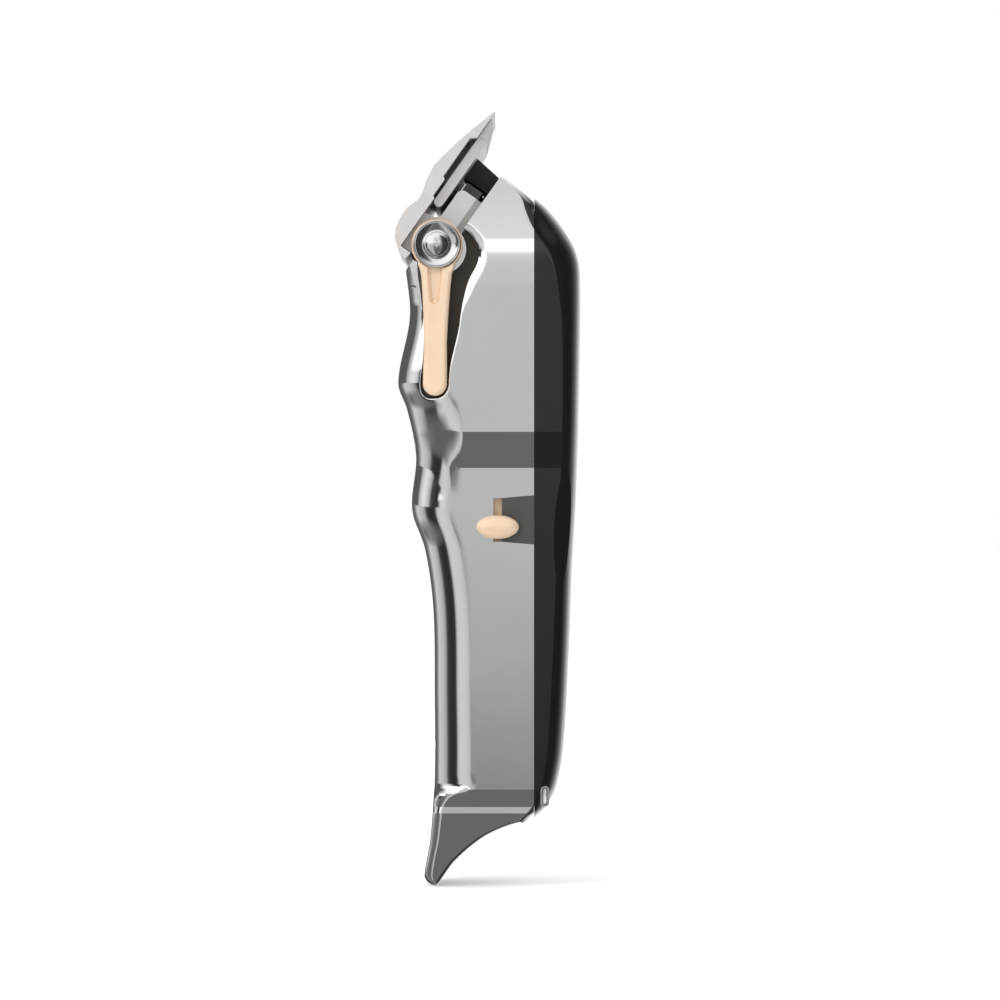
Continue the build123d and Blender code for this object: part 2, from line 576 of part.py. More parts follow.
def motor_shaft():
    """Motor shaft, rear bearing to crank."""
    return disc(MOTOR_X, MOTOR_Z[0] + 0.3, 132.8, SHAFT_R)


def motor_armature():
    """Wound armature on the shaft: three lobes and a commutator."""
    core = disc(MOTOR_X, 101.0, 119.0, 9.0)
    for k in range(3):
        angle = radians(120 * k + 60)
        core -= disc(MOTOR_X + 8.6 * cos(angle), 100, 120, 2.0, 8.6 * sin(angle))
    core += disc(MOTOR_X, 98.4, 101.1, 3.4)
    return core - disc(MOTOR_X, 97, 121, SHAFT_R)


def eccentric_crank():
    """Balanced crank disc on the motor shaft."""
    crank = disc(MOTOR_X, 130.0, 133.6, 3.6)
    crank -= disc(MOTOR_X, 129, 132.8, SHAFT_R)
    return crank - disc(MOTOR_X + CRANK_ARM, 132.8, 134, CRANK_PIN_R)


def crank_pin():
    """Pin that runs in the follower's fork."""
    pin = disc(MOTOR_X + CRANK_ARM, 132.8, 142.0, CRANK_PIN_R)
    return chamfer(pin.faces().sort_by(Axis.Z)[-1].edges(), 0.25)


def motor_mount():
    """Plate across the head that the motor is screwed to."""
    low, high = MOTOR_Z[1], MOTOR_Z[1] + 1.6
    plate = block((-17.6, 5.6), (-16.9, 16.9), (low, high))
    plate = fillet(plate.edges().filter_by(Axis.Z), 3.0)
    plate -= disc(MOTOR_X, low - 1, high + 1, 3.0 + GAP)
    for y in (-MOTOR_SCREW_Y, MOTOR_SCREW_Y):
        plate -= disc(MOTOR_X, low - 1, high + 1, 0.8 + GAP, y)
    return plate


def motor_screws():
    """Two screws through the mount into the can."""
    high = MOTOR_Z[1] + 1.6
    return Compound([Pos(MOTOR_X, y, high) * screw(0.8, 1.6, 1.0, 3.4, 1.9)
                     for y in (-MOTOR_SCREW_Y, MOTOR_SCREW_Y)])


def battery_cell():
    """Lithium cell with its raised terminal."""
    low, high = CELL_Z
    cell = fillet(disc(CELL_X, low, high - 0.8, CELL_R).edges(), 0.6)
    return cell + disc(CELL_X, high - 0.9, high, 2.6)


def battery_terminals():
    """Contact strips at the two ends of the cell."""
    low, high = CELL_Z
    return Compound([block((CELL_X - 3, CELL_X + 11.0), (-2.5, 2.5), (z, z + 0.4))
                     for z in (low - 0.45, high + 0.05)])


def battery_cradle():
    """Tray under the cell with three curved ribs."""
    floor = block((-18.0, -16.6), (-8.0, 8.0), (34.0, 88.0))
    ribs = floor
    for z in (38.0, 58.0, 78.0):
        ribs += block((-17.5, -10.5), (-8.0, 8.0), (z, z + 2.5))
    return ribs - disc(CELL_X, 20, 95, CELL_R + 0.15)


def circuit_board():
    """Control board under the lid."""
    board = block((2.2, 3.6), (-12.0, 12.0), (34.5, 86.0))
    for z in (38.5, 82.0):
        board -= post(0, 6, 9.0, z, 1.1)
    return board


def board_parts():
    """Inductor, charger and controller chips and a capacitor on the board."""
    parts = [block((3.6, 4.6), (-6, -1), (44, 50)), block((3.6, 4.5), (1, 6), (56, 61)),
             block((3.6, 4.6), (-5, 0), (66, 72)), post(3.6, 4.7, 5.0, 74.0, 2.0)]
    return Compound(parts)


def board_screws():
    """Two screws that hold the board to its pillars."""
    return Compound([Plane((3.6, 9.0, z), z_dir=(1, 0, 0)) * screw(1.0, 1.5, 0.8, 2.6, 1.7)
                     for z in (38.5, 82.0)])


def charge_socket():
    """Round charging socket in the tail."""
    socket = disc(SOCKET_X, SOCKET_Z, 24.0, 4.0)
    socket -= disc(SOCKET_X, SOCKET_Z - 1, SOCKET_Z + 5.0, 2.9)
    return socket - disc(SOCKET_X, SOCKET_Z + 5.0, 22.5, 2.3)


def charge_pin():
    """Centre contact of the socket, set back behind its collar."""
    pin = disc(SOCKET_X, 19.6, 22.5, 0.65)
    return fillet(pin.faces().sort_by(Axis.Z)[0].edges(), 0.3)


def housing_screws():
    """Four screws from the grip side into the lid's posts."""
    screws = []
    for z in POST_Z:
        for y in (-POST_Y, POST_Y):
            x = smooth(UNDERSIDE, z) + 1.2
            screws.append(Plane((x, y, z), z_dir=(-1, 0, 0)) * screw(1.3, 2.4, 0.9, -x - 4.0, 2.6))
    return Compound(screws)


def export(name, shape):
    """Move a node into the part frame and write it."""
    placed = Pos(-SOCKET_X, 0, -SOCKET_Z) * shape
    export_step(placed, f"parts/{name}.step")
    print(f"{name:20s} {placed.volume:10.1f} mm3, {len(placed.solids())} solid(s)")


def main():
    """Build every node and write it to its own file."""
    os.makedirs("parts", exist_ok=True)
    casing, cavity = casing_solid(), cavity_solid()
    export("lower_housing", lower_housing(casing, cavity))
    export("top_lid", top_lid(casing, cavity))
    export("pocket_liner", pocket_liner(casing))
    for make in (indicator_bezel, indicator_lens, blade_bracket, bracket_screws, fixed_blade,
                 blade_screws, cutter_blade, cam_follower, follower_screws, cutter_carrier,
                 tension_spring, taper_lever, eccentric_disc, cam_shaft, pivot_bush, cup_washer,
                 lever_screw, switch_plate, switch_slider, switch_knob, switch_body, motor_can,
                 motor_bush, motor_magnets, motor_end_cap, motor_terminals, motor_shaft,
                 motor_armature, eccentric_crank, crank_pin, motor_mount, motor_screws,
                 battery_cell, battery_terminals, battery_cradle, circuit_board, board_parts,
                 board_screws, charge_socket, charge_pin, housing_screws):
        export(make.__name__, make())


if __name__ == "__main__":
    main()
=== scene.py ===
import logging
from collections.abc import Callable
from dataclasses import dataclass, field
from enum import Enum
from math import cos, pi, radians, sin

import bmesh
import bpy
import numpy as np
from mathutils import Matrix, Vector


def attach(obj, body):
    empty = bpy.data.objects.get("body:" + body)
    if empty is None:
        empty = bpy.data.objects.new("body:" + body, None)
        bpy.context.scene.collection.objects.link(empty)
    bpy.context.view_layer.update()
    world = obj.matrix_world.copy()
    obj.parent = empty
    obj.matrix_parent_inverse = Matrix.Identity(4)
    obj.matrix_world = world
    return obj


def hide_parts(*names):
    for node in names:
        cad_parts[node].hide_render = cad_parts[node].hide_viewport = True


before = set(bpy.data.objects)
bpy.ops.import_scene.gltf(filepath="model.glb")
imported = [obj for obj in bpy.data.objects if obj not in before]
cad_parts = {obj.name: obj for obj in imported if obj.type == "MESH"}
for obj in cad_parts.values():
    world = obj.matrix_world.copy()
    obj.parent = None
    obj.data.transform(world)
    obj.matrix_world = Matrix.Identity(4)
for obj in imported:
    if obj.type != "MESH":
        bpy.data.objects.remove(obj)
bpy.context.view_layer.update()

LOG = logging.getLogger("clipper")

# The clipper is drawn here in millimetres in a bench frame: X = 0 is the joint plane between
# housing and lid, Z = 0 is the tail's tip, -Y is the lever side.  ORIGIN is where the part
# frame's origin, the charging socket's mouth, lies in the bench frame.
ORIGIN = np.array([-5.0, 0.0, 14.0])
MM = 0.001

Points = tuple[tuple[float, float], ...]
Placer = Callable[[float, float, float], tuple[float, float, float]]


def to_part(points: np.ndarray) -> np.ndarray:
    """Bench millimetres to part-frame metres."""
    return (np.asarray(points, float) - ORIGIN) * MM


def hermite(table: Points, z: float) -> float:
    """Smooth curve through (z, value) pairs with Catmull-Rom slopes.

    Args:
        table: pairs in rising z.
        z: where to read the curve; clamped to the table's ends.

    Returns:
        The value there.
    """
    z = min(max(z, table[0][0]), table[-1][0])
    i = max(k for k in range(len(table) - 1) if table[k][0] <= z)
    (z0, v0), (z1, v1) = table[i], table[i + 1]

    def slope(k: int) -> float:
        a, b = table[max(k - 1, 0)], table[min(k + 1, len(table) - 1)]
        return (b[1] - a[1]) / (b[0] - a[0])

    h, u = z1 - z0, (z - z0) / (z1 - z0)
    return ((2 * u**3 - 3 * u**2 + 1) * v0 + (u**3 - 2 * u**2 + u) * h * slope(i)
            + (3 * u**2 - 2 * u**3) * v1 + (u**3 - u**2) * h * slope(i + 1))


# ---------------------------------------------------------------- node building
class Wire:
    """A node socket whose operators add Math nodes."""

    def __init__(self, desk: "NodeDesk", socket: bpy.types.NodeSocket) -> None:
        """Wrap one output socket of a desk's tree."""
        self.desk = desk
        self.socket = socket

    def _math(self, operation: str, first: object, second: object) -> "Wire":
        """Add one Math node."""
        return self.desk.add("ShaderNodeMath", {"operation": operation}, {0: first, 1: second})

    def __add__(self, other: object) -> "Wire":
        """self + other"""
        return self._math("ADD", self, other)

    def __radd__(self, other: object) -> "Wire":
        """other + self"""
        return self._math("ADD", other, self)

    def __sub__(self, other: object) -> "Wire":
        """self - other"""
        return self._math("SUBTRACT", self, other)

    def __rsub__(self, other: object) -> "Wire":
        """other - self"""
        return self._math("SUBTRACT", other, self)

    def __mul__(self, other: object) -> "Wire":
        """self * other"""
        return self._math("MULTIPLY", self, other)

    def __rmul__(self, other: object) -> "Wire":
        """other * self"""
        return self._math("MULTIPLY", other, self)

    def __truediv__(self, other: object) -> "Wire":
        """self / other"""
        return self._math("DIVIDE", self, other)


class NodeDesk:
    """Adds nodes to one tree and links them."""

    def __init__(self, tree: bpy.types.NodeTree) -> None:
        """Empty the tree and keep it."""
        self.tree = tree
        tree.nodes.clear()

    def add(self, kind: str, settings: dict, inputs: dict, output: str | int = 0) -> Wire:
        """Add a node.

        Args:
            kind: the node's type name.
            settings: attributes set first; "stops" fills a colour ramp.
            inputs: socket name or index to a value or a Wire.
            output: the output socket to return.

        Returns:
            A Wire on the chosen output.
        """
        node = self.tree.nodes.new(kind)
        for name, value in settings.items():
            if name == "stops":
                self._ramp(node.color_ramp, value)
            else:
                setattr(node, name, value)
        for name, value in inputs.items():
            if isinstance(value, Wire):
                self.tree.links.new(value.socket, node.inputs[name])
            else:
                node.inputs[name].default_value = value
        return Wire(self, node.outputs[output]) if len(node.outputs) else Wire(self, None)

    @staticmethod
    def _ramp(ramp: bpy.types.ColorRamp, stops: list) -> None:
        """Fill a colour ramp from (position, grey or colour) pairs."""
        while len(ramp.elements) > 1:
            ramp.elements.remove(ramp.elements[-1])
        for i, (place, tone) in enumerate(stops):
            colour = (*tone, 1.0) if isinstance(tone, tuple) else (tone, tone, tone, 1.0)
            element = ramp.elements[0] if i == 0 else ramp.elements.new(place)
            element.position = place
            element.color = colour

    def noise(self, scale: float | tuple, detail: float = 3.0, rough: float = 0.5) -> Wire:
        """Noise in object space; a tuple stretches it along the axes."""
        place = self.add("ShaderNodeTexCoord", {}, {}, "Object")
        stretch = scale if isinstance(scale, tuple) else (scale, scale, scale)
        spread = self.add("ShaderNodeMapping", {}, {"Vector": place, "Scale": stretch})
        return self.add("ShaderNodeTexNoise", {}, {"Vector": spread, "Scale": 1.0, "Detail": detail,
                                                   "Roughness": rough})

    def ramp(self, value: Wire, stops: list) -> Wire:
        """Colour ramp on a value."""
        return self.add("ShaderNodeValToRGB", {"stops": stops}, {0: value})

    def bump(self, height: Wire, depth_mm: float, strength: float = 1.0) -> Wire:
        """Bump node for a height field."""
        return self.add("ShaderNodeBump", {}, {"Height": height, "Distance": depth_mm * MM,
                                               "Strength": strength})


@dataclass(frozen=True)
class Finish:
    """A surface finish: plain numbers, and a method that varies them over the surface."""

    name: str
    slot: str
    colour: tuple[float, float, float]
    metallic: float = 0.0
    roughness: float = 0.4

    def shader(self) -> dict:
        """Extra constants for the shader's own sockets."""
        return {}

    def vary(self, desk: NodeDesk) -> dict:
        """Sockets that change over the surface: a fine moulded grain.

        Args:
            desk: the material's node desk.

        Returns:
            Shader socket names to Wires.
        """
        grain = desk.noise(2600.0, 2.0)
        cloud = desk.noise(140.0, 3.0)
        dark = tuple(c * 0.88 for c in self.colour)
        tone = desk.ramp(cloud, [(0.3, dark), (0.7, self.colour)])
        return {"Base Color": tone, "Roughness": cloud * 0.12 + (self.roughness - 0.06),
                "Normal": desk.bump(grain, 0.01)}

    def material(self) -> bpy.types.Material:
        """Build the material once and return it."""
        found = bpy.data.materials.get(self.name)
        if found is not None:
            return found
        made = bpy.data.materials.new(self.name)
        made.use_nodes = True
        desk = NodeDesk(made.node_tree)
        sockets = {"Base Color": (*self.colour, 1.0), "Metallic": self.metallic, "Roughness": self.roughness}
        sockets.update(self.shader())
        sockets.update(self.vary(desk))
        surface = desk.add("ShaderNodeBsdfPrincipled", {}, sockets)
        desk.add("ShaderNodeOutputMaterial", {}, {"Surface": surface})
        return made


@dataclass(frozen=True)
class MirrorMetal(Finish):
    """Mirror plating with handling haze and hairlines."""

    def vary(self, desk: NodeDesk) -> dict:
        """Faint haze in the gloss and barely visible hairlines."""
        haze = desk.noise(60.0, 4.0, 0.6)
        hairline = desk.noise((900.0, 900.0, 60.0), 2.0)
        tone = desk.ramp(haze, [(0.35, tuple(c * 0.97 for c in self.colour)), (0.65, self.colour)])
        return {"Base Color": tone, "Roughness": haze * 0.035 + hairline * 0.015 + (self.roughness - 0.02),
                "Normal": desk.bump(hairline, 0.0004, 0.5)}


@dataclass(frozen=True)
class Lacquer(Finish):
    """Deep gloss lacquer with a trace of orange peel and dust haze."""

    def shader(self) -> dict:
        """Lacquer's index."""
        return {"IOR": 1.5}

    def vary(self, desk: NodeDesk) -> dict:
        """Slight peel and a soft change of gloss."""
        peel = desk.noise(420.0, 1.0)
        haze = desk.noise(45.0, 4.0, 0.6)
        tone = desk.ramp(haze, [(0.3, self.colour), (0.75, tuple(c * 1.35 for c in self.colour))])
        return {"Base Color": tone, "Roughness": haze * 0.05 + (self.roughness - 0.02),
                "Normal": desk.bump(peel, 0.002, 0.35)}


@dataclass(frozen=True)
class GroundSteel(Finish):
    """Ground or brushed metal: fine lines along one direction."""

    grind: tuple[float, float, float] = (300.0, 9000.0, 300.0)

    def vary(self, desk: NodeDesk) -> dict:
        """Grinding lines in gloss and height, and a soft stain."""
        lines = desk.noise(self.grind, 3.0, 0.6)
        cloud = desk.noise(90.0, 3.0)
        tone = desk.ramp(cloud * 0.6 + lines * 0.4, [(0.3, tuple(c * 0.86 for c in self.colour)),
                                                     (0.7, self.colour)])
        return {"Base Color": tone, "Roughness": lines * 0.16 + cloud * 0.06 + (self.roughness - 0.1),
                "Normal": desk.bump(lines, 0.003, 0.5)}


@dataclass(frozen=True)
class Anodised(Finish):
    """Satin anodised metal: very fine blast texture under a soft sheen."""

    def vary(self, desk: NodeDesk) -> dict:
        """Blast texture, and colour a little deeper in places."""
        blast = desk.noise(5200.0, 2.0)
        cloud = desk.noise(110.0, 4.0, 0.55)
        deep = (self.colour[0] * 0.95, self.colour[1] * 0.92, self.colour[2] * 0.89)
        tone = desk.ramp(cloud, [(0.3, deep), (0.68, self.colour)])
        return {"Base Color": tone, "Roughness": cloud * 0.1 + (self.roughness - 0.05),
                "Normal": desk.bump(blast, 0.0035, 0.6)}


@dataclass(frozen=True)
class Turned(Finish):
    """Turned metal: rings about an axis along Y."""

    centre: tuple[float, float] = (-20.05, 132.85)

    def vary(self, desk: NodeDesk) -> dict:
        """Fine rings left by the tool."""
        place = desk.add("ShaderNodeTexCoord", {}, {}, "Object")
        away = to_part(np.array([self.centre[0], 0.0, self.centre[1]]))
        moved = desk.add("ShaderNodeMapping", {"vector_type": "TEXTURE"},
                         {"Vector": place, "Location": tuple(float(c) for c in away)})
        rings = desk.add("ShaderNodeTexWave", {"wave_type": "RINGS", "rings_direction": "Y"},
                         {"Vector": moved, "Scale": 900.0, "Distortion": 0.6, "Detail": 2.0}, "Fac")
        cloud = desk.noise(300.0, 3.0)
        return {"Roughness": rings * 0.06 + cloud * 0.06 + (self.roughness - 0.04),
                "Normal": desk.bump(rings, 0.0012, 0.4)}


@dataclass(frozen=True)
class LightPipe(Finish):
    """Clear moulded light pipe."""

    def shader(self) -> dict:
        """Transmission and index of a clear plastic."""
        return {"IOR": 1.49, "Transmission Weight": 0.15}


class Finishes(Enum):
    """Every finish on the clipper."""

    MIRROR = MirrorMetal("mirror_plating", "mirror_metal", (0.95, 0.95, 0.955), 1.0, 0.035)
    LACQUER = Lacquer("piano_black", "gloss_black", (0.008, 0.008, 0.009), 0.0, 0.035)
    TRIM = Turned("turned_trim", "bright_trim", (0.86, 0.85, 0.84), 1.0, 0.13)
    LENS = LightPipe("clear_pipe", "clear_lens", (0.95, 0.96, 0.97), 0.0, 0.12)
    CAST = GroundSteel("satin_casting", "satin_cast", (0.8, 0.79, 0.77), 0.5, 0.34,
                       (2500.0, 2500.0, 2500.0))
    SCREW = GroundSteel("screw_steel", "screw_steel", (0.55, 0.55, 0.56), 1.0, 0.26,
                        (3000.0, 3000.0, 3000.0))
    BLADE = GroundSteel("ground_blade", "blade_steel", (0.84, 0.81, 0.79), 0.55, 0.36)
    BLACK = Finish("black_polymer", "black_polymer", (0.022, 0.022, 0.023), 0.0, 0.5)
    GREY = Finish("grey_polymer", "grey_polymer", (0.075, 0.075, 0.078), 0.0, 0.48)
    # painted shade: this dark brown on the pocket liner stands in for the shade in the lever's recess and the
    # lever's shaded side mirrored there
    PAINTED_SHADE_LINER = Finish("liner_polymer", "liner_polymer", (0.05, 0.042, 0.034), 0.0, 0.42)
    PLATE = Finish("dark_plate", "dark_plate", (0.036, 0.036, 0.036), 0.0, 0.4)
    SPRING = GroundSteel("spring_wire", "spring_steel", (0.7, 0.7, 0.7), 1.0, 0.25, (3000.0, 600.0, 3000.0))
    CHAMPAGNE = Anodised("champagne_anodised", "champagne", (0.9, 0.69, 0.505), 0.28, 0.34)
    BRONZE = GroundSteel("sintered_bronze", "bronze", (0.6, 0.44, 0.26), 1.0, 0.38, (4000.0, 4000.0, 4000.0))
    ZINC = GroundSteel("zinc_plate", "plated_steel", (0.58, 0.59, 0.6), 1.0, 0.32, (900.0, 900.0, 5000.0))
    MAGNET = Finish("ferrite", "magnet", (0.09, 0.09, 0.09), 0.0, 0.6)
    WHITE = Finish("white_polymer", "white_polymer", (0.8, 0.8, 0.76), 0.0, 0.4)
    CONTACT = GroundSteel("contact_brass", "brass_contact", (0.8, 0.6, 0.3), 1.0, 0.25, (3000.0, 3000.0, 900.0))
    ARMATURE = GroundSteel("armature_stack", "armature", (0.42, 0.27, 0.16), 0.8, 0.42, (500.0, 500.0, 9000.0))
    CELL = Finish("cell_wrap", "cell_wrap", (0.08, 0.22, 0.46), 0.0, 0.32)
    BOARD = Finish("solder_mask", "board_green", (0.03, 0.2, 0.09), 0.0, 0.35)


NODE_FINISH: dict[str, Finishes] = {
    "indicator_bezel": Finishes.TRIM, "indicator_lens": Finishes.LENS, "blade_bracket": Finishes.CAST,
    "fixed_blade": Finishes.BLADE, "cutter_blade": Finishes.BLADE, "cam_follower": Finishes.BLACK,
    "follower_screws": Finishes.SCREW, "cutter_carrier": Finishes.GREY, "tension_spring": Finishes.SPRING,
    "eccentric_disc": Finishes.TRIM, "cam_shaft": Finishes.SCREW, "pivot_bush": Finishes.BRONZE,
    "switch_plate": Finishes.PLATE, "switch_slider": Finishes.CHAMPAGNE, "switch_body": Finishes.BLACK,
    "motor_can": Finishes.ZINC, "motor_bush": Finishes.BRONZE, "motor_magnets": Finishes.MAGNET,
    "motor_end_cap": Finishes.WHITE, "motor_terminals": Finishes.CONTACT, "motor_shaft": Finishes.SCREW,
    "motor_armature": Finishes.ARMATURE, "eccentric_crank": Finishes.BRONZE, "crank_pin": Finishes.SCREW,
    "motor_mount": Finishes.BLACK, "motor_screws": Finishes.SCREW, "battery_cell": Finishes.CELL,
    "battery_terminals": Finishes.ZINC, "battery_cradle": Finishes.BLACK, "circuit_board": Finishes.BOARD,
    "board_parts": Finishes.GREY, "board_screws": Finishes.SCREW, "charge_socket": Finishes.BLACK,
    "charge_pin": Finishes.CONTACT, "pocket_liner": Finishes.PAINTED_SHADE_LINER,
}


# ---------------------------------------------------------------- mesh helpers
class Workshop:
    """Makes, cuts and finishes mesh objects given in bench millimetres."""

    @staticmethod
    def solid(name: str, points: np.ndarray, faces: list) -> bpy.types.Object:
        """Closed mesh object from bench points and faces, normals outward.

        Args:
            name: the object's name.
            points: bench coordinates in millimetres.
            faces: lists of point indices.

        Returns:
            The object, at the origin, in part metres.
        """
        mesh = bpy.data.meshes.new(name)
        mesh.from_pydata([tuple(p) for p in to_part(points)], [], [tuple(int(i) for i in f) for f in faces])
        work = bmesh.new()
        work.from_mesh(mesh)
        bmesh.ops.remove_doubles(work, verts=work.verts, dist=1e-7)
        bmesh.ops.recalc_face_normals(work, faces=work.faces)
        work.to_mesh(mesh)
        work.free()
        item = bpy.data.objects.new(name, mesh)
        bpy.context.scene.collection.objects.link(item)
        return item

    @staticmethod
    def prism(name: str, outline: list, low: float, high: float, place: Placer) -> bpy.types.Object:
        """Closed prism of a 2-D outline between two heights.

        Args:
            name: the object's name.
            outline: 2-D points, in order round the outline.
            low: first height.
            high: second height.
            place: function from (a, b, height) to a bench point.

        Returns:
            The prism's object.
        """
        n = len(outline)
        points = [place(a, b, low) for a, b in outline] + [place(a, b, high) for a, b in outline]
        faces = [list(range(n))[::-1], [n + i for i in range(n)]]
        faces += [[i, (i + 1) % n, n + (i + 1) % n, n + i] for i in range(n)]
        return Workshop.solid(name, np.array(points), faces)

    @staticmethod
    def turned(name: str, profile: list, segments: int, place: Placer) -> bpy.types.Object:
        """Closed solid of revolution.

        Args:
            name: the object's name.
            profile: (radius, height) points; a closed loop, or one from axis to axis.
            segments: steps round the axis.
            place: function from (a, b, height) to a bench point.

        Returns:
            The turned object.
        """
        rows = len(profile)
        on_axis = profile[0][0] < 1e-6
        points, faces = [], []
        for k in range(segments):
            angle = 2 * pi * k / segments
            points += [place(r * cos(angle), r * sin(angle), h) for r, h in profile]
        last = rows - 1 if on_axis else rows
        for k in range(segments):
            a, b = k * rows, ((k + 1) % segments) * rows
            faces += [[a + i, a + (i + 1) % rows, b + (i + 1) % rows, b + i] for i in range(last)]
        return Workshop.solid(name, np.array(points), faces)

    @staticmethod
    def stacked(name: str, rings: list) -> bpy.types.Object:
        """Closed solid through rings that all have the same number of points."""
        n = len(rings[0])
        faces = [list(range(n)), [(len(rings) - 1) * n + i for i in range(n)][::-1]]
        for k in range(len(rings) - 1):
            a, b = k * n, (k + 1) * n
            faces += [[a + i, b + i, b + (i + 1) % n, a + (i + 1) % n] for i in range(n)]
        return Workshop.solid(name, np.array([point for ring in rings for point in ring]), faces)

    @staticmethod
    def join(item: bpy.types.Object, other: bpy.types.Object) -> None:
        """Move another object's mesh into the item."""
        work = bmesh.new()
        work.from_mesh(item.data)
        work.from_mesh(other.data)
        work.to_mesh(item.data)
        work.free()
        bpy.data.objects.remove(other)

    @staticmethod
    def weigh(item: bpy.types.Object) -> None:
        """Let big faces set the shading beside small ones."""
        tool = item.modifiers.new("weigh", "WEIGHTED_NORMAL")
        tool.keep_sharp = True
        Workshop.apply(item)

    @staticmethod
    def cut(item: bpy.types.Object, cutter: bpy.types.Object, operation: str = "DIFFERENCE") -> None:
        """Boolean the item with a cutter and delete the cutter."""
        tool = item.modifiers.new("cut", "BOOLEAN")
        tool.operation = operation
        tool.solver = "MANIFOLD"
        tool.object = cutter
        Workshop.apply(item)
        bpy.data.objects.remove(cutter)

    @staticmethod
    def apply(item: bpy.types.Object) -> None:
        """Turn an object's modifiers into its plain mesh."""
        graph = bpy.context.evaluated_depsgraph_get()
        made = bpy.data.meshes.new_from_object(item.evaluated_get(graph), depsgraph=graph)
        item.modifiers.clear()
        item.data = made

    @staticmethod
    def bevel(item: bpy.types.Object, width_mm: float, segments: int, angle: float = 30.0) -> None:
        """Round the edges that are sharper than an angle."""
        tool = item.modifiers.new("round", "BEVEL")
        tool.width = width_mm * MM
        tool.segments = segments
        tool.limit_method = "ANGLE"
        tool.angle_limit = radians(angle)
        tool.use_clamp_overlap = True
        Workshop.apply(item)

    @staticmethod
    def smooth(item: bpy.types.Object, angle: float = 30.0) -> None:
        """Smooth shading with edges sharper than an angle kept crisp."""
        item.data.shade_smooth()
        item.data.set_sharp_from_angle(angle=radians(angle))

    @staticmethod
    def mend(item: bpy.types.Object) -> None:
        """Merge doubled points and dissolve degenerate edges."""
        work = bmesh.new()
        work.from_mesh(item.data)
        bmesh.ops.remove_doubles(work, verts=work.verts, dist=1e-7)
        bmesh.ops.dissolve_degenerate(work, edges=work.edges, dist=1e-7)
        work.to_mesh(item.data)
        work.free()

    @staticmethod
    def finish(item: bpy.types.Object, finish: Finishes, body: str, *nodes: str) -> bpy.types.Object:
        """Give a piece its material, body and the CAD nodes that it stands for."""
        item.data.materials.clear()
        item.data.materials.append(finish.value.material())
        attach(item, body)
        if nodes:
            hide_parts(*nodes)
        LOG.info("%s: %d faces, rides on %s", item.name, len(item.data.polygons), body)
        return item


def flat(x: float, z: float, y: float) -> tuple[float, float, float]:
    """Place a side-view point (x, z) at a Y."""
    return (x, y, z)


@dataclass
class BladePlane:
    """Blade coordinates: s runs back from the tooth tips, t out of the skin side."""

    tip_x: float = -8.1
    tip_z: float = 160.0
    tilt: float = radians(54.7)

    def place(self, s: float, t: float, y: float) -> tuple[float, float, float]:
        """Bench point of blade coordinates."""
        return (self.tip_x - s * cos(self.tilt) - t * sin(self.tilt), y,
                self.tip_z - s * sin(self.tilt) + t * cos(self.tilt))

    def outward(self) -> tuple[float, float, float]:
        """Unit vector out of the skin side."""
        return (-sin(self.tilt), 0.0, cos(self.tilt))


BLADE = BladePlane()


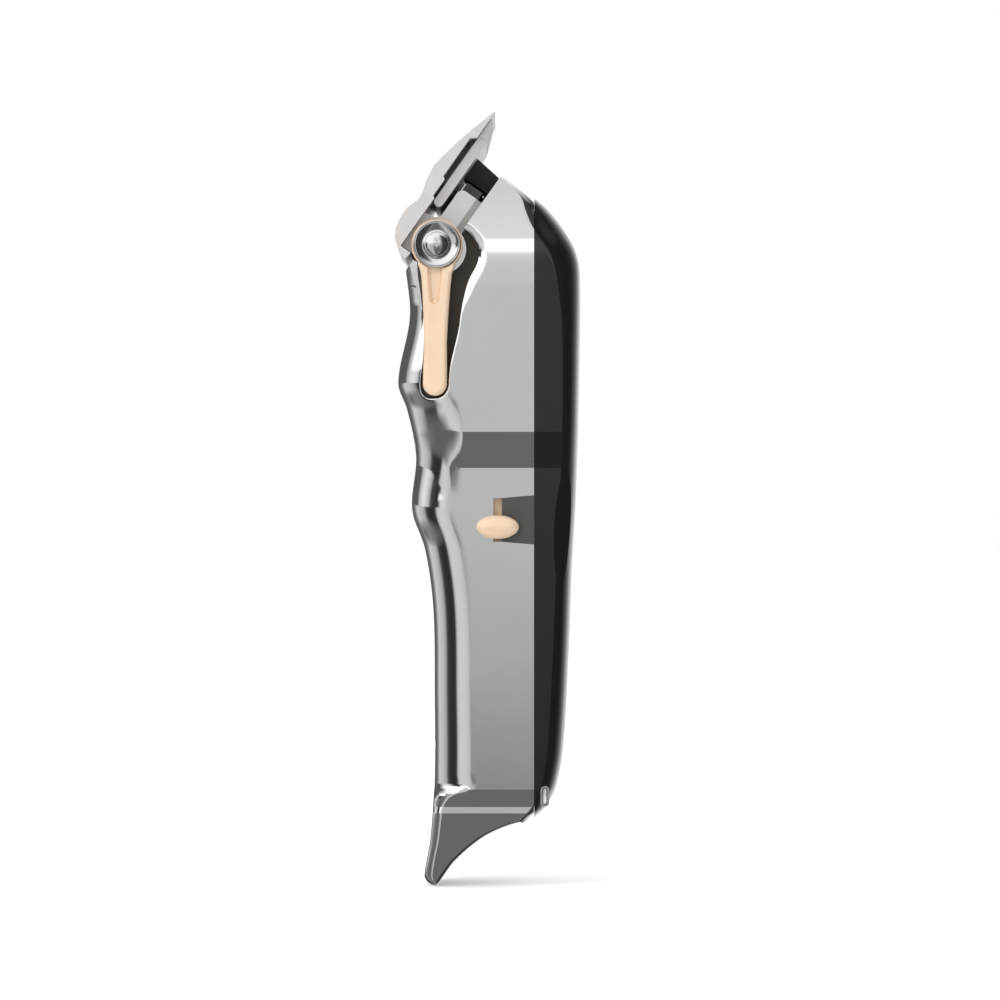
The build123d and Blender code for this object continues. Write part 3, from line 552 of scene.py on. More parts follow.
# ---------------------------------------------------------------- casing
@dataclass
class CasingForm:
    """Curves of height that shape housing and lid, and the sections between them."""

    underside: Points = ((0, -20.9), (0.3, -21.6), (1.0, -22.35), (2.3, -22.85), (10.5, -21.5), (22.8, -20.7),
                         (39.3, -20.7), (57.8, -21.0), (70.1, -22.7), (78.4, -25.4), (89.7, -24.6),
                         (98.9, -26.4), (104.7, -28.3), (118.5, -25.9), (129.4, -26.8), (150, -27.4))
    crest: Points = ((0, -3.0), (10, -3.0), (14, 0), (16.7, 2.6), (20.8, 4.6), (29, 6.1), (49.6, 7.3),
                     (66, 7.9), (80.4, 8.7), (94.8, 9.15), (113, 9.5), (124, 9.55), (129.8, 9.2),
                     (134.3, 7.5), (140.9, 2.6), (144.5, -2.0), (150, -9.7))
    belly: Points = ((0, 1.7), (12, 1.9), (17.7, 2.5), (19.6, 4.2), (20.8, 8.2), (24, 8.2), (70, 8.2),
                     (90, 9.7), (102, 11.0), (150, 11.0))
    crown: Points = ((0, 2.4), (20, 3.5), (60, 3.6), (115, 4.0), (130.8, 6.0), (136, 7.0), (140, 5.6),
                     (144, 2.6), (150, 1.9))
    crown_width: float = 12.0
    tail_half: Points = ((0, 8.6), (4, 11.0), (8, 13.0), (12, 15.2), (14.8, 16.62), (15.75, 17.03),
                         (17.05, 17.0), (17.8, 17.35), (20.8, 19.5))
    ridge: tuple[float, float] = (15.75, 17.05)
    brow_half: Points = ((124.8, 22.5), (131.6, 22.412), (134.1, 22.304), (136.0, 22.143),
                         (149.0, 20.61))
    handle_half: float = 19.5
    head_half: float = 22.5
    blend: tuple[float, float] = (-18.6, -14.8)
    crease: float = 20.8
    waist: tuple[float, float] = (87.0, 94.4)
    top: float = 149.0
    pitch: float = 0.5

    def half(self, z: float) -> float:
        """Half the width at a height."""
        if self.ridge[0] < z < self.ridge[1]:
            low, high = (hermite(self.tail_half, end) for end in self.ridge)
            return low + (high - low) * (z - self.ridge[0]) / (self.ridge[1] - self.ridge[0])
        if z < self.crease:
            return hermite(self.tail_half, z)
        if z < self.brow_half[0][0]:
            rise = min(max((z - self.waist[0]) / (self.waist[1] - self.waist[0]), 0.0), 1.0)
            return self.handle_half + (self.head_half - self.handle_half) * rise
        return hermite(self.brow_half, z)

    def eased(self, x: float, z: float) -> float:
        """Half the width at a height and depth: the waist's facet fades out round the belly."""
        share = min(max((x - self.blend[0]) / (self.blend[1] - self.blend[0]), 0.0), 1.0)
        share = share * share * (3 - 2 * share)
        low, high = self.waist[0] - 6.0, self.waist[1] + 7.0
        rise = min(max((z - low) / (high - low), 0.0), 1.0)
        soft = self.handle_half + (self.head_half - self.handle_half) * rise * rise * (3 - 2 * rise)
        if not low < z < high:
            return self.half(z)
        return soft + (self.half(z) - soft) * share

    def skin(self, x: float, z: float) -> float:
        """Distance of the near side from the middle plane at (x, z)."""
        start, radius = hermite(self.underside, z), hermite(self.belly, z)
        back = min(max(start + radius - x, 0.0), radius)
        return self.eased(x, z) - radius + (radius**2 - back**2) ** 0.5

    def ring(self, z: float, inset: float) -> list[tuple[float, float, float]]:
        """Loop of points round the section at a height.

        Args:
            z: the height.
            inset: how far in from the outer skin.

        Returns:
            Bench points, the same number at every height.
        """
        low, high = hermite(self.underside, z) + inset, hermite(self.crest, z) - inset
        half = self.half(z) - inset
        r = hermite(self.belly, z) - inset
        cx = max(hermite(self.crown, z) - inset, 0.4)
        cy = min(self.crown_width, half + inset - 2.0) - inset
        loop: list[tuple[float, float]] = []

        def line(a: tuple[float, float], b: tuple[float, float], steps: int) -> None:
            """Add points from a up to, not with, b."""
            loop.extend((a[0] + (b[0] - a[0]) * k / steps, a[1] + (b[1] - a[1]) * k / steps)
                        for k in range(steps))

        def corner(x: float, y: float, turn: int, away: int) -> None:
            """Add the crown's quarter ellipse; away is the side of the middle it lies on."""
            for k in range(20) if turn > 0 else range(20, 0, -1):
                lean = radians(4.5 * k)
                along = np.arctan2(cy * sin(lean), cx * cos(lean))
                loop.append((x + cx * cos(along), y + away * cy * sin(along)))

        line((high - cx, -half), (low + r, -half), 40)
        loop.extend((low + r - r * sin(radians(t)), -half + r - r * cos(radians(t)))
                    for t in np.linspace(0, 90, 16, endpoint=False))
        line((low, -half + r), (low, half - r), 14)
        loop.extend((low + r - r * cos(radians(t)), half - r + r * sin(radians(t)))
                    for t in np.linspace(0, 90, 16, endpoint=False))
        line((low + r, half), (high - cx, half), 40)
        corner(high - cx, half - cy, -1, 1)
        line((high, half - cy), (high, -half + cy), 12)
        corner(high - cx, -half + cy, 1, -1)
        wide = self.half(z)
        return [(x, y * (self.eased(x, z) / wide) if abs(y) > 4 else y, z) for x, y in loop]

    def heights(self, low: float, high: float) -> list[float]:
        """Heights between two limits with a row on every crease."""
        marks = [low] + [c for c in (*self.ridge, self.crease, *self.waist) if low < c < high] + [high]
        rows = [low]
        for a, b in zip(marks, marks[1:]):
            count = max(int(round((b - a) / self.pitch)), 1)
            rows += [a + (b - a) * (k + 1) / count for k in range(count)]
        return rows

    def solid(self, name: str, low: float, high: float, inset: float = 0.0) -> bpy.types.Object:
        """Closed form between two heights."""
        return Workshop.stacked(name, [self.ring(z, inset) for z in self.heights(low, high)])


def curve_through(knots: list[tuple[float, float]], steps: int = 8) -> list[tuple[float, float]]:
    """Catmull-Rom curve through 2-D knots, sampled evenly in each span."""
    ends = [knots[0], *knots, knots[-1]]

    def between(a: float, b: float, c: float, d: float, u: float) -> float:
        """Value at share u of the span from b to c."""
        return 0.5 * (2 * b + (c - a) * u + (2 * a - 5 * b + 4 * c - d) * u**2
                      + (3 * b - a - 3 * c + d) * u**3)

    found = []
    for a, b, c, d in zip(ends, ends[1:], ends[2:], ends[3:]):
        found += [tuple(between(a[i], b[i], c[i], d[i], k / steps) for i in (0, 1)) for k in range(steps)]
    return found + [knots[-1]]


def cross_outline(half_width: float, reach: float) -> list[tuple[float, float]]:
    """Outline of a cross recess: half the width of its slots, and how far they reach."""
    w, c = half_width, reach
    return [(-w, -c), (w, -c), (w, -w), (c, -w), (c, w), (w, w), (w, c), (-w, c), (-w, w), (-c, w), (-c, -w),
            (-w, -w)]


def arc(centre: tuple[float, float], radius: float, start: float, end: float, steps: int) -> list:
    """Points of a circular arc, in degrees, both ends included."""
    return [(centre[0] + radius * cos(radians(t)), centre[1] + radius * sin(radians(t)))
            for t in np.linspace(start, end, steps + 1)]


def moved_out(outline: list[tuple[float, float]], distance: list[float]) -> list[tuple[float, float]]:
    """Outline with each point moved along its outward normal.

    Args:
        outline: closed outline, in either turning sense.
        distance: how far each point moves; negative goes inward.

    Returns:
        The moved outline.
    """
    points = np.array(outline)
    along = np.roll(points, -1, 0) - np.roll(points, 1, 0)
    along /= np.linalg.norm(along, axis=1)[:, None]
    area = np.sum(points[:, 0] * np.roll(points[:, 1], -1) - np.roll(points[:, 0], -1) * points[:, 1])
    normal = np.stack([along[:, 1], -along[:, 0]], 1) * np.sign(area)
    return [tuple(p) for p in points + normal * np.array(distance)[:, None]]


@dataclass
class Casing:
    """Metal housing and gloss lid."""

    form: CasingForm = field(default_factory=CasingForm)
    wall: float = 1.5
    seat: float = -8.5
    floor: float = 18.5
    rim: float = 3.2
    rim_fade: Points = ((101.0, 0.3), (104.0, 0.22), (117.0, 0.12), (120.0, 0.35), (124.0, 1.0), (130.0, 1.1),
                        (134.0, 1.2), (137.0, 1.25))
    rim_lean: float = 30.0
    tail_rim: float = 0.8
    tail_rim_lean: float = 88.0
    joint: float = 0.1
    socket_radius: float = 4.05
    posts: tuple[float, float] = (30.0, 92.0)
    post_y: float = 10.5
    post_seat: float = 1.2
    post_bore: float = 1.35
    post_head_bore: float = 2.45
    scoop_radius: float = 75.0
    scoop_depth: float = 0.9
    scoop_centre: tuple[float, float, float] = (5.72, 18.83, 72.0)
    scoop_facing: tuple[float, float] = (0.75, 0.66)
    beyond: float = 60.0

    def box(self, x: tuple[float, float], y: tuple[float, float], z: tuple[float, float]) -> bpy.types.Object:
        """Box cutter."""
        outline = [(x[0], z[0]), (x[1], z[0]), (x[1], z[1]), (x[0], z[1])]
        return Workshop.prism("box", outline, y[0], y[1], flat)

    def along_blade(self, outline: list, half: float) -> bpy.types.Object:
        """Prism of an outline in blade coordinates, across the width."""
        return Workshop.prism("blade_prism", outline, -half, half, BLADE.place)

    def flare(self, outline: list, rim: float, floor: float, side: int, lean: float,
              fade: Points = ((0.0, 1.0), (160.0, 1.0))) -> list:
        """Rings of a cutter that rounds the edge where it enters the skin.

        Args:
            outline: closed (x, z) outline at the wall.
            rim: radius of the rounded edge.
            floor: distance of the cutter's end from the middle plane.
            side: -1 for the near side, 1 for the far one.
            lean: steepest slope of the rounded edge, degrees.
            fade: height to the share of the rounding that is kept there.

        Returns:
            Rings from outside the skin down to the floor.
        """
        leans = [radians(4 + (lean - 4) * k / 8) for k in range(9)]
        reach = sin(radians(lean))
        steps = [(rim * (1 - cos(a)), rim * (reach - sin(a))) for a in leans]
        steps.insert(0, (-0.03, steps[0][1] + (steps[0][0] + 0.03) / 0.05))
        rings = []
        for number, (depth, spread) in enumerate(steps):
            deepest = rim * (1 - cos(radians(lean))) + 0.05
            room = [min(max(self.form.skin(x, z) - floor, 0.1) / deepest, 1.0) * hermite(fade, z)
                    for x, z in outline]
            loop = moved_out(outline, [spread * share for share in room])
            level = [(x, side * (self.form.skin(x, z) - depth * share), z)
                     for (x, z), share in zip(loop, room)]
            if number == 0:
                rings.append([(x, side * 32.0, z) for x, _, z in level])
            rings.append(level)
        rings.append([(x, side * min(floor, abs(level[i][1]) - 0.02), z) for i, (x, z) in enumerate(outline)])
        return rings

    def pocket(self) -> bpy.types.Object:
        """Cutter of the lever's recess with its rolled edge."""
        right_edge = [(-16.6, 136.8), (-13.7, 135.4), (-12.1, 133.6), (-11.5, 131.9), (-11.5, 130.0),
                      (-12.1, 128.2), (-13.2, 126.2), (-13.95, 124.2), (-14.75, 120.9), (-15.25, 117.8),
                      (-15.75, 114.6), (-16.5, 111.4), (-17.3, 108.0), (-17.6, 105.2)]
        lower_end = [(-17.8, 103.3), (-18.8, 101.8), (-20.4, 101.2), (-22.2, 101.35), (-23.3, 102.6)]
        left_edge = [(-23.5, 105.0), (-23.1, 108.0), (-22.85, 111.0), (-22.7, 116.0), (-23.15, 121.0),
                     (-24.3, 124.6)]
        past_skin = [(-27.6, 125.5), (-31.0, 126.6), (-34.0, 127.5), (-34.0, 134.0), (-34.0, 142.0),
                     (-25.0, 142.0), (-16.6, 142.0), (-16.6, 139.4)]
        outline = curve_through(right_edge + lower_end + left_edge, 5) + past_skin
        rings = self.flare(outline, self.rim, self.floor, -1, self.rim_lean, self.rim_fade)
        return Workshop.stacked("pocket", rings)

    def tail(self) -> bpy.types.Object:
        """Cutter of the tail's curved lower edge, its edges rounded on both sides."""
        edge = curve_through([(0.6, 14.0), (-3.0, 13.55), (-6.5, 12.5), (-10.2, 10.7), (-13.3, 8.4),
                              (-15.6, 6.3), (-17.4, 4.3), (-20.2, 0.0)], 6)
        outline = edge + [(-22.5, -4.0), (-10.0, -6.0), (6.0, -6.0), (20.0, -6.0), (20.0, 5.0), (20.0, 14.0),
                          (10.0, 14.0)]
        rings = []
        for side in (-1, 1):
            levels = self.flare(outline, self.tail_rim, 3.0, side, self.tail_rim_lean)
            rings += levels[:-1] if side < 0 else levels[:-1][::-1]
        return Workshop.stacked("tail", rings)

    def shell(self) -> bpy.types.Object:
        """Hollow casing, housing and lid together."""
        item = self.form.solid("casing", 0.0, self.form.top)
        room = self.form.solid("room", 16.5, 146.0, self.wall)
        seat = self.seat - self.wall
        Workshop.cut(room, self.along_blade([(-20, seat), (60, seat), (60, 60), (-20, 60)], 30))
        behind = [(-9.4, 140), (-9.4, 127.5), (-12.2, 120), (-14.9, 111), (-15.6, 102), (-18, 99.5),
                  (-34, 99.5), (-34, 140)]
        Workshop.cut(room, Workshop.prism("behind_pocket", behind, -30, -17.5, flat))
        Workshop.cut(item, room)
        Workshop.cut(item, self.tail())
        return item

    def post_seat_x(self, z: float) -> float:
        """Where the head of a housing screw sits at a height."""
        return hermite(self.form.underside, z) + self.post_seat

    def housing(self, shell: bpy.types.Object) -> bpy.types.Object:
        """Cut the metal housing out of the shell."""
        Workshop.cut(shell, self.box((-self.joint, self.beyond), (-self.beyond, self.beyond), (-20, 180)))
        s = self.seat
        front = [(-20, s), (32.0, s), (34.6, -3.6), (40, -3.2), (40, 40), (-20, 40)]
        Workshop.cut(shell, self.along_blade(front, 30))
        Workshop.cut(shell, self.along_blade([(10.5, -20), (33.2, -20), (33.2, 0), (10.5, 0)], 15.2))
        nose = [(0.2, 141.5), (-7.3, 148.1), (-14, 154), (-14, 170), (0.2, 170)]
        Workshop.cut(shell, Workshop.prism("nose", nose, -30, 30, flat))
        Workshop.cut(shell, self.pocket())
        notch = [(0.2, 71.2), (0.2, 81.4), (-6.7, 80.8), (-8.5, 80.8), (-8.5, 71.8), (-6.7, 71.8)]
        Workshop.cut(shell, Workshop.prism("notch", notch, -30, -15, flat))
        r = self.socket_radius
        hole = Workshop.turned("socket", [(0, 0), (r, 0), (r, 25), (0, 25)], 48,
                               lambda a, b, h: (ORIGIN[0] + a, b, h))
        Workshop.cut(shell, hole)
        for z in self.posts:
            for y in (-self.post_y, self.post_y):
                wide, narrow, seat_x = self.post_head_bore, self.post_bore, self.post_seat_x(z)
                step = [(0, -40), (wide, -40), (wide, seat_x), (narrow, seat_x), (narrow, 0.5), (0, 0.5)]
                Workshop.cut(shell, Workshop.turned("screw_hole", step, 32,
                                                    lambda a, b, h, y=y, z=z: (h, y + a, z + b)))
        return shell

    def lid(self, shell: bpy.types.Object) -> bpy.types.Object:
        """Cut the lid out of the shell, with its two scoops and the indicator hole."""
        Workshop.cut(shell, self.box((-self.beyond, 0), (-self.beyond, self.beyond), (-20, 180)))
        radius, (facing_x, facing_y) = self.scoop_radius, self.scoop_facing
        bowl = [(radius * sin(radians(t)), radius - radius * cos(radians(t))) for t in np.linspace(0, 14, 57)]
        bowl = [(0.0, 0.0), *bowl[1:], (bowl[-1][0], 12.0), (0.0, 12.0)]
        for side in (-1, 1):
            out = np.array([facing_x, side * facing_y, 0.0])
            across = np.array([-side * facing_y, facing_x, 0.0])
            base = np.array(self.scoop_centre) * (1, side, 1) - out * self.scoop_depth

            def on_lid(a: float, b: float, h: float, out=out, across=across, base=base) -> tuple:
                """Place a bowl point square to the lid's cheek."""
                return tuple(base + across * a + np.array([0.0, 0.0, 1.0]) * b + out * h)

            Workshop.cut(shell, Workshop.turned("scoop", bowl, 180, on_lid))
        slot = (arc((2.15, 20.55), 0.95, 0, 180, 16) + arc((2.15, 18.05), 0.95, 180, 360, 16))
        Workshop.cut(shell, Workshop.prism("indicator_hole", slot, -30, -10, flat))
        return shell

    def build(self) -> None:
        """Make both pieces."""
        shell = self.shell()
        twin = shell.copy()
        twin.data = shell.data.copy()
        bpy.context.scene.collection.objects.link(twin)
        for item, make, finish, node in ((shell, self.housing, Finishes.MIRROR, "lower_housing"),
                                         (twin, self.lid, Finishes.LACQUER, "top_lid")):
            made = make(item)
            Workshop.mend(made)
            made.name = f"{node}_skin"
            Workshop.smooth(made, 15.0)
            Workshop.weigh(made)
            Workshop.finish(made, finish, "handle", node)


# ---------------------------------------------------------------- repeats
class Repeats:
    """Geometry Nodes groups that set copies of a part in rows or on points."""

    @staticmethod
    def tree(name: str, sockets: list[tuple[str, str]]) -> tuple[bpy.types.NodeTree, NodeDesk]:
        """Empty geometry group with named inputs and one geometry output."""
        tree = bpy.data.node_groups.new(name, "GeometryNodeTree")
        tree.interface.new_socket("Geometry", in_out="INPUT", socket_type="NodeSocketGeometry")
        for label, kind in sockets:
            tree.interface.new_socket(label, in_out="INPUT", socket_type=kind)
        tree.interface.new_socket("Geometry", in_out="OUTPUT", socket_type="NodeSocketGeometry")
        return tree, NodeDesk(tree)

    @staticmethod
    def row() -> bpy.types.NodeTree:
        """Group that adds an evenly stepped row of copies to the geometry that comes in."""
        found = bpy.data.node_groups.get("row_of_copies")
        if found is not None:
            return found
        tree, desk = Repeats.tree("row_of_copies", [
            ("Part", "NodeSocketObject"), ("Count", "NodeSocketInt"), ("Start", "NodeSocketVector"),
            ("Step", "NodeSocketVector"), ("Turn", "NodeSocketVector"), ("Finish", "NodeSocketMaterial")])
        entry = desk.tree.nodes.new("NodeGroupInput")
        inputs = {socket.name: Wire(desk, socket) for socket in entry.outputs if socket.name}
        line = desk.add("GeometryNodeMeshLine", {"mode": "OFFSET"}, {
            "Count": inputs["Count"], "Start Location": inputs["Start"], "Offset": inputs["Step"]})
        part = desk.add("GeometryNodeObjectInfo", {}, {"Object": inputs["Part"], "As Instance": True},
                        "Geometry")
        turn = desk.add("FunctionNodeEulerToRotation", {}, {"Euler": inputs["Turn"]})
        copies = desk.add("GeometryNodeInstanceOnPoints", {}, {
            "Points": line, "Instance": part, "Rotation": turn})
        solid = desk.add("GeometryNodeRealizeInstances", {}, {"Geometry": copies})
        joined = desk.add("GeometryNodeJoinGeometry", {}, {})
        join = joined.socket.node
        desk.tree.links.new(solid.socket, join.inputs[0])
        desk.tree.links.new(inputs["Geometry"].socket, join.inputs[0])
        painted = desk.add("GeometryNodeSetMaterial", {}, {"Geometry": joined, "Material": inputs["Finish"]})
        desk.add("NodeGroupOutput", {}, {"Geometry": painted})
        return tree

    @staticmethod
    def add_row(item: bpy.types.Object, part: bpy.types.Object, count: int, start: tuple, step: tuple,
                finish: Finishes, turn: tuple = (0.0, 0.0, 0.0)) -> None:
        """Add a row of copies to an item, as plain mesh.

        Args:
            item: receives the copies.
            part: the part to copy, drawn about the origin in metres.
            count: number of copies.
            start: first copy's place, bench millimetres.
            step: from one copy to the next, millimetres.
            finish: material of the result.
            turn: Euler angles of every copy.
        """
        group = Repeats.row()
        tool = item.modifiers.new("row", "NODES")
        values = {"Part": part, "Count": count, "Start": tuple(float(c) for c in to_part(np.array(start))),
                  "Step": tuple(c * MM for c in step), "Turn": turn, "Finish": finish.value.material()}
        tool.node_group = group
        for socket in group.interface.items_tree:
            if socket.in_out == "INPUT" and socket.name in values:
                tool[socket.identifier] = values[socket.name]
        Workshop.apply(item)

    @staticmethod
    def blank(name: str) -> bpy.types.Object:
        """Mesh object with nothing in it yet."""
        item = bpy.data.objects.new(name, bpy.data.meshes.new(name))
        bpy.context.scene.collection.objects.link(item)
        return item


def about_origin(a: float, b: float, h: float) -> tuple[float, float, float]:
    """Place a part so that its own origin is the part frame's."""
    return (a + ORIGIN[0], b + ORIGIN[1], h + ORIGIN[2])


# ---------------------------------------------------------------- head
@dataclass
class BladeSet:
    """Fixed blade and cutter: ground bars whose teeth are copies of one tooth."""

    half: float = 23.0
    tooth_depth: float = 5.2
    pitch: float = 1.2
    gap: float = 0.55
    cutter_half: float = 19.8
    cutter_from: float = 1.4
    cutter_depth: float = 4.4
    cutter_pitch: float = 1.7
    cutter_gap: float = 0.8

    @staticmethod
    def crown(s: float) -> float:
        """Height of the fixed blade's front bevel."""
        return 0.18 + 0.309 * s - 0.00472 * s * s

    @staticmethod
    def drawn_at_origin(s: float, t: float, y: float) -> tuple[float, float, float]:
        """Blade coordinates about the part frame's origin."""
        point = np.array(BLADE.place(s, t, y)) - np.array(BLADE.place(0, 0, 0)) + ORIGIN
        return tuple(float(c) for c in point)

    def tooth(self, name: str, stations: list[tuple[float, float, float, float]]) -> bpy.types.Object:
        """One tooth from (s, width, lower t, upper t) stations."""
        rings = []
        for s, width, low, high in stations:
            w = width / 2
            corners = ((low, -w), (low, w), (high, w), (high, -w))
            rings.append([self.drawn_at_origin(s, t, y) for t, y in corners])
        return Workshop.stacked(name, rings)

    def bar(self, name: str, outline: list, half: float, ends: list, inner: float,
            hole: tuple[float, float] = (0.0, 0.0), steps: tuple = ()) -> bpy.types.Object:
        """Bar across the width with a solid block at each end of its teeth.

        Args:
            name: the object's name.
            outline: the bar's outline in blade coordinates.
            half: half its width.
            ends: outline of the two end blocks.
            inner: where the end blocks start.
            hole: s and distance from the middle of its pair of screw holes.
            steps: (radius, height) profile of those holes; none are cut without it.

        Returns:
            The bar.
        """
        item = Workshop.prism(name, outline, -half, half, BLADE.place)
        if steps:
            self.holes(item, *hole, steps)
        Workshop.bevel(item, 0.1, 2)
        for side in (-1, 1):
            low, high = sorted((side * inner, side * half))
            block = Workshop.prism("end", ends, low, high, BLADE.place)
            Workshop.bevel(block, 0.06, 1)
            Workshop.join(item, block)
        return item

    @staticmethod
    def holes(item: bpy.types.Object, s: float, y: float, steps: list) -> None:
        """Cut a stepped hole on both sides of the middle."""
        out = np.array(BLADE.outward())
        along = np.array(BLADE.place(-1, 0, 0)) - np.array(BLADE.place(0, 0, 0))
        for side in (-y, y):
            base = np.array(BLADE.place(s, 0, side))
            Workshop.cut(item, Workshop.turned("hole", steps, 32, lambda a, b, h, c=base: tuple(
                c + along * a + np.array([0, 1.0, 0]) * b + out * h)))

    def fixed(self) -> None:
        """Fixed blade with its row of teeth."""
        root = self.tooth_depth
        front = [(s, self.crown(s)) for s in np.linspace(root, 15.9, 12)]
        back = curve_through([(15.9, 3.9), (19.4, 3.45), (23.2, 2.5), (26.8, 3.4), (30.6, 3.05),
                              (32.9, 1.95)], 7)
        under = [(34.5, 0.0), (35.2, -2.3), (33.6, -2.5), (33.6, 0.0), (21.6, 0.0), (21.3, 0.5), (17.2, 0.5),
                 (16.9, 1.1), (7.4, 1.1), (6.4, 0.0), (root, 0.0)]
        ends = [(0.0, 0.0)] + [(s, self.crown(s)) for s in np.linspace(0, root, 7)] + [(root, 0.0)]
        slots = int((2 * self.half - 1.6) / self.pitch)
        inner = (slots - 1) / 2 * self.pitch + self.gap / 2
        steps = ((0, -3), (1.35, -3), (1.35, 1.9), (2.6, 1.9), (2.6, 9), (0, 9))
        outline = front + back[1:] + under
        item = self.bar("fixed_blade_bar", outline, self.half, ends, inner, (29.0, 9.0), steps)
        width = self.pitch - self.gap
        tooth = self.tooth("tooth", [(s, w, 0.0, self.crown(s)) for s, w in (
            (0.0, 0.3 * width), (0.3, 0.7 * width), (1.1, width), (3.2, width), (root, width))])
        Repeats.add_row(item, tooth, slots - 1, BLADE.place(0, 0, -(slots / 2 - 1) * self.pitch),
                        (0, self.pitch, 0), Finishes.BLADE)
        bpy.data.objects.remove(tooth)
        Workshop.smooth(item, 28.0)
        Workshop.weigh(item)
        Workshop.finish(item, Finishes.BLADE, "handle", "fixed_blade")

    def cutter(self) -> None:
        """Cutter with its row of bevelled teeth."""
        start, root = self.cutter_from, self.cutter_from + self.cutter_depth
        top, low = -0.08, -2.1

        def under(s: float) -> float:
            """Height of the teeth's bevelled underside."""
            return top - 0.25 + (low - top + 0.25) * (s - start) / (6.2 - start)

        outline = [(root, top), (root, under(root)), (6.2, low), (21.7, low)]
        outline += [(21.7 + 0.9 * cos(a), (top + low) / 2 + 1.01 * sin(a)) for a in np.linspace(-1.4, 1.4, 9)]
        outline += [(21.7, top)]
        slots = int((2 * self.cutter_half - 1.6) / self.cutter_pitch)
        inner = (slots - 1) / 2 * self.cutter_pitch + self.cutter_gap / 2
        ends = [(start, top), (start, top - 0.25), (root, under(root)), (root, top)]
        item = self.bar("cutter_bar", outline, self.cutter_half, ends, inner)
        width = self.cutter_pitch - self.cutter_gap
        tooth = self.tooth("cutter_tooth", [(s, w, top, under(s)) for s, w in (
            (start, 0.5 * width), (start + 0.5, 0.9 * width), (start + 1.2, width), (root, width))])
        Repeats.add_row(item, tooth, slots - 1, BLADE.place(0, 0, -(slots / 2 - 1) * self.cutter_pitch),
                        (0, self.cutter_pitch, 0), Finishes.BLADE)
        bpy.data.objects.remove(tooth)
        Workshop.smooth(item, 28.0)
        Workshop.weigh(item)
        Workshop.finish(item, Finishes.BLADE, "cutter", "cutter_blade")


# ---------------------------------------------------------------- fasteners
@dataclass
class PanScrew:
    """Pan-head screw with a cross recess, along +Z with its seat at the origin."""

    shank: float
    head: float
    height: float
    length: float
    cross: float

    def part(self, name: str) -> bpy.types.Object:
        """The screw, drawn about the part frame's origin."""
        r, h = self.head, self.height
        dome = [(r * cos(a) ** 0.55, h * (0.35 + 0.65 * sin(a))) for a in np.linspace(0, pi / 2, 8)[:-1]]
        profile = [(0, -self.length), (self.shank, -self.length), (self.shank, 0), (r, 0), *dome, (0, h)]
        item = Workshop.turned(name, profile, 32, about_origin)
        plus = cross_outline(r * 0.13, self.cross / 2)
        Workshop.cut(item, Workshop.prism("cross", plus, h * 0.45, h + 1, about_origin))
        return item


class Fasteners:
    """Every small screw, set in pairs."""

    PAIRS = {
        "housing_screws": (PanScrew(1.3, 2.4, 0.9, 12.0, 2.6), -pi / 2, "handle"),
        "blade_screws": (PanScrew(1.3, 2.45, 1.5, 4.2, 2.9), -BLADE.tilt, "handle"),
        "bracket_screws": (PanScrew(1.0, 1.7, 1.2, 5.0, 1.8), -BLADE.tilt, "handle"),
        "follower_screws": (PanScrew(1.0, 1.75, 1.1, 4.6, 2.0), pi - BLADE.tilt, "cutter"),
        "motor_screws": (PanScrew(0.8, 1.6, 1.0, 3.4, 1.9), 0.0, "handle"),
    }

    @staticmethod
    def places(node: str) -> list[tuple[tuple, float]]:
        """First copy's place and the step across, for each pair of a node."""
        if node == "housing_screws":
            casing = Casing()
            return [((casing.post_seat_x(z), -casing.post_y, z), 2 * casing.post_y) for z in casing.posts]
        if node == "motor_screws":
            return [((-6.5, -7.5, 127.1), 15.0)]
        s, t, y = {"blade_screws": (29.0, 1.95, 9.0), "bracket_screws": (21.0, -5.0, 17.0),
                   "follower_screws": (11.5, -5.0, 6.0)}[node]
        return [(BLADE.place(s, t, -y), 2 * y)]

    def build(self) -> None:
        """Make every set."""
        for node, (screw, turn, body) in self.PAIRS.items():
            part = screw.part("screw_part")
            item = Repeats.blank(f"{node}_set")
            for start, step in self.places(node):
                Repeats.add_row(item, part, 2, start, (0, step, 0), Finishes.SCREW, (0.0, turn, 0.0))
            bpy.data.objects.remove(part)
            Workshop.smooth(item, 32.0)
            Workshop.finish(item, Finishes.SCREW, body, node)


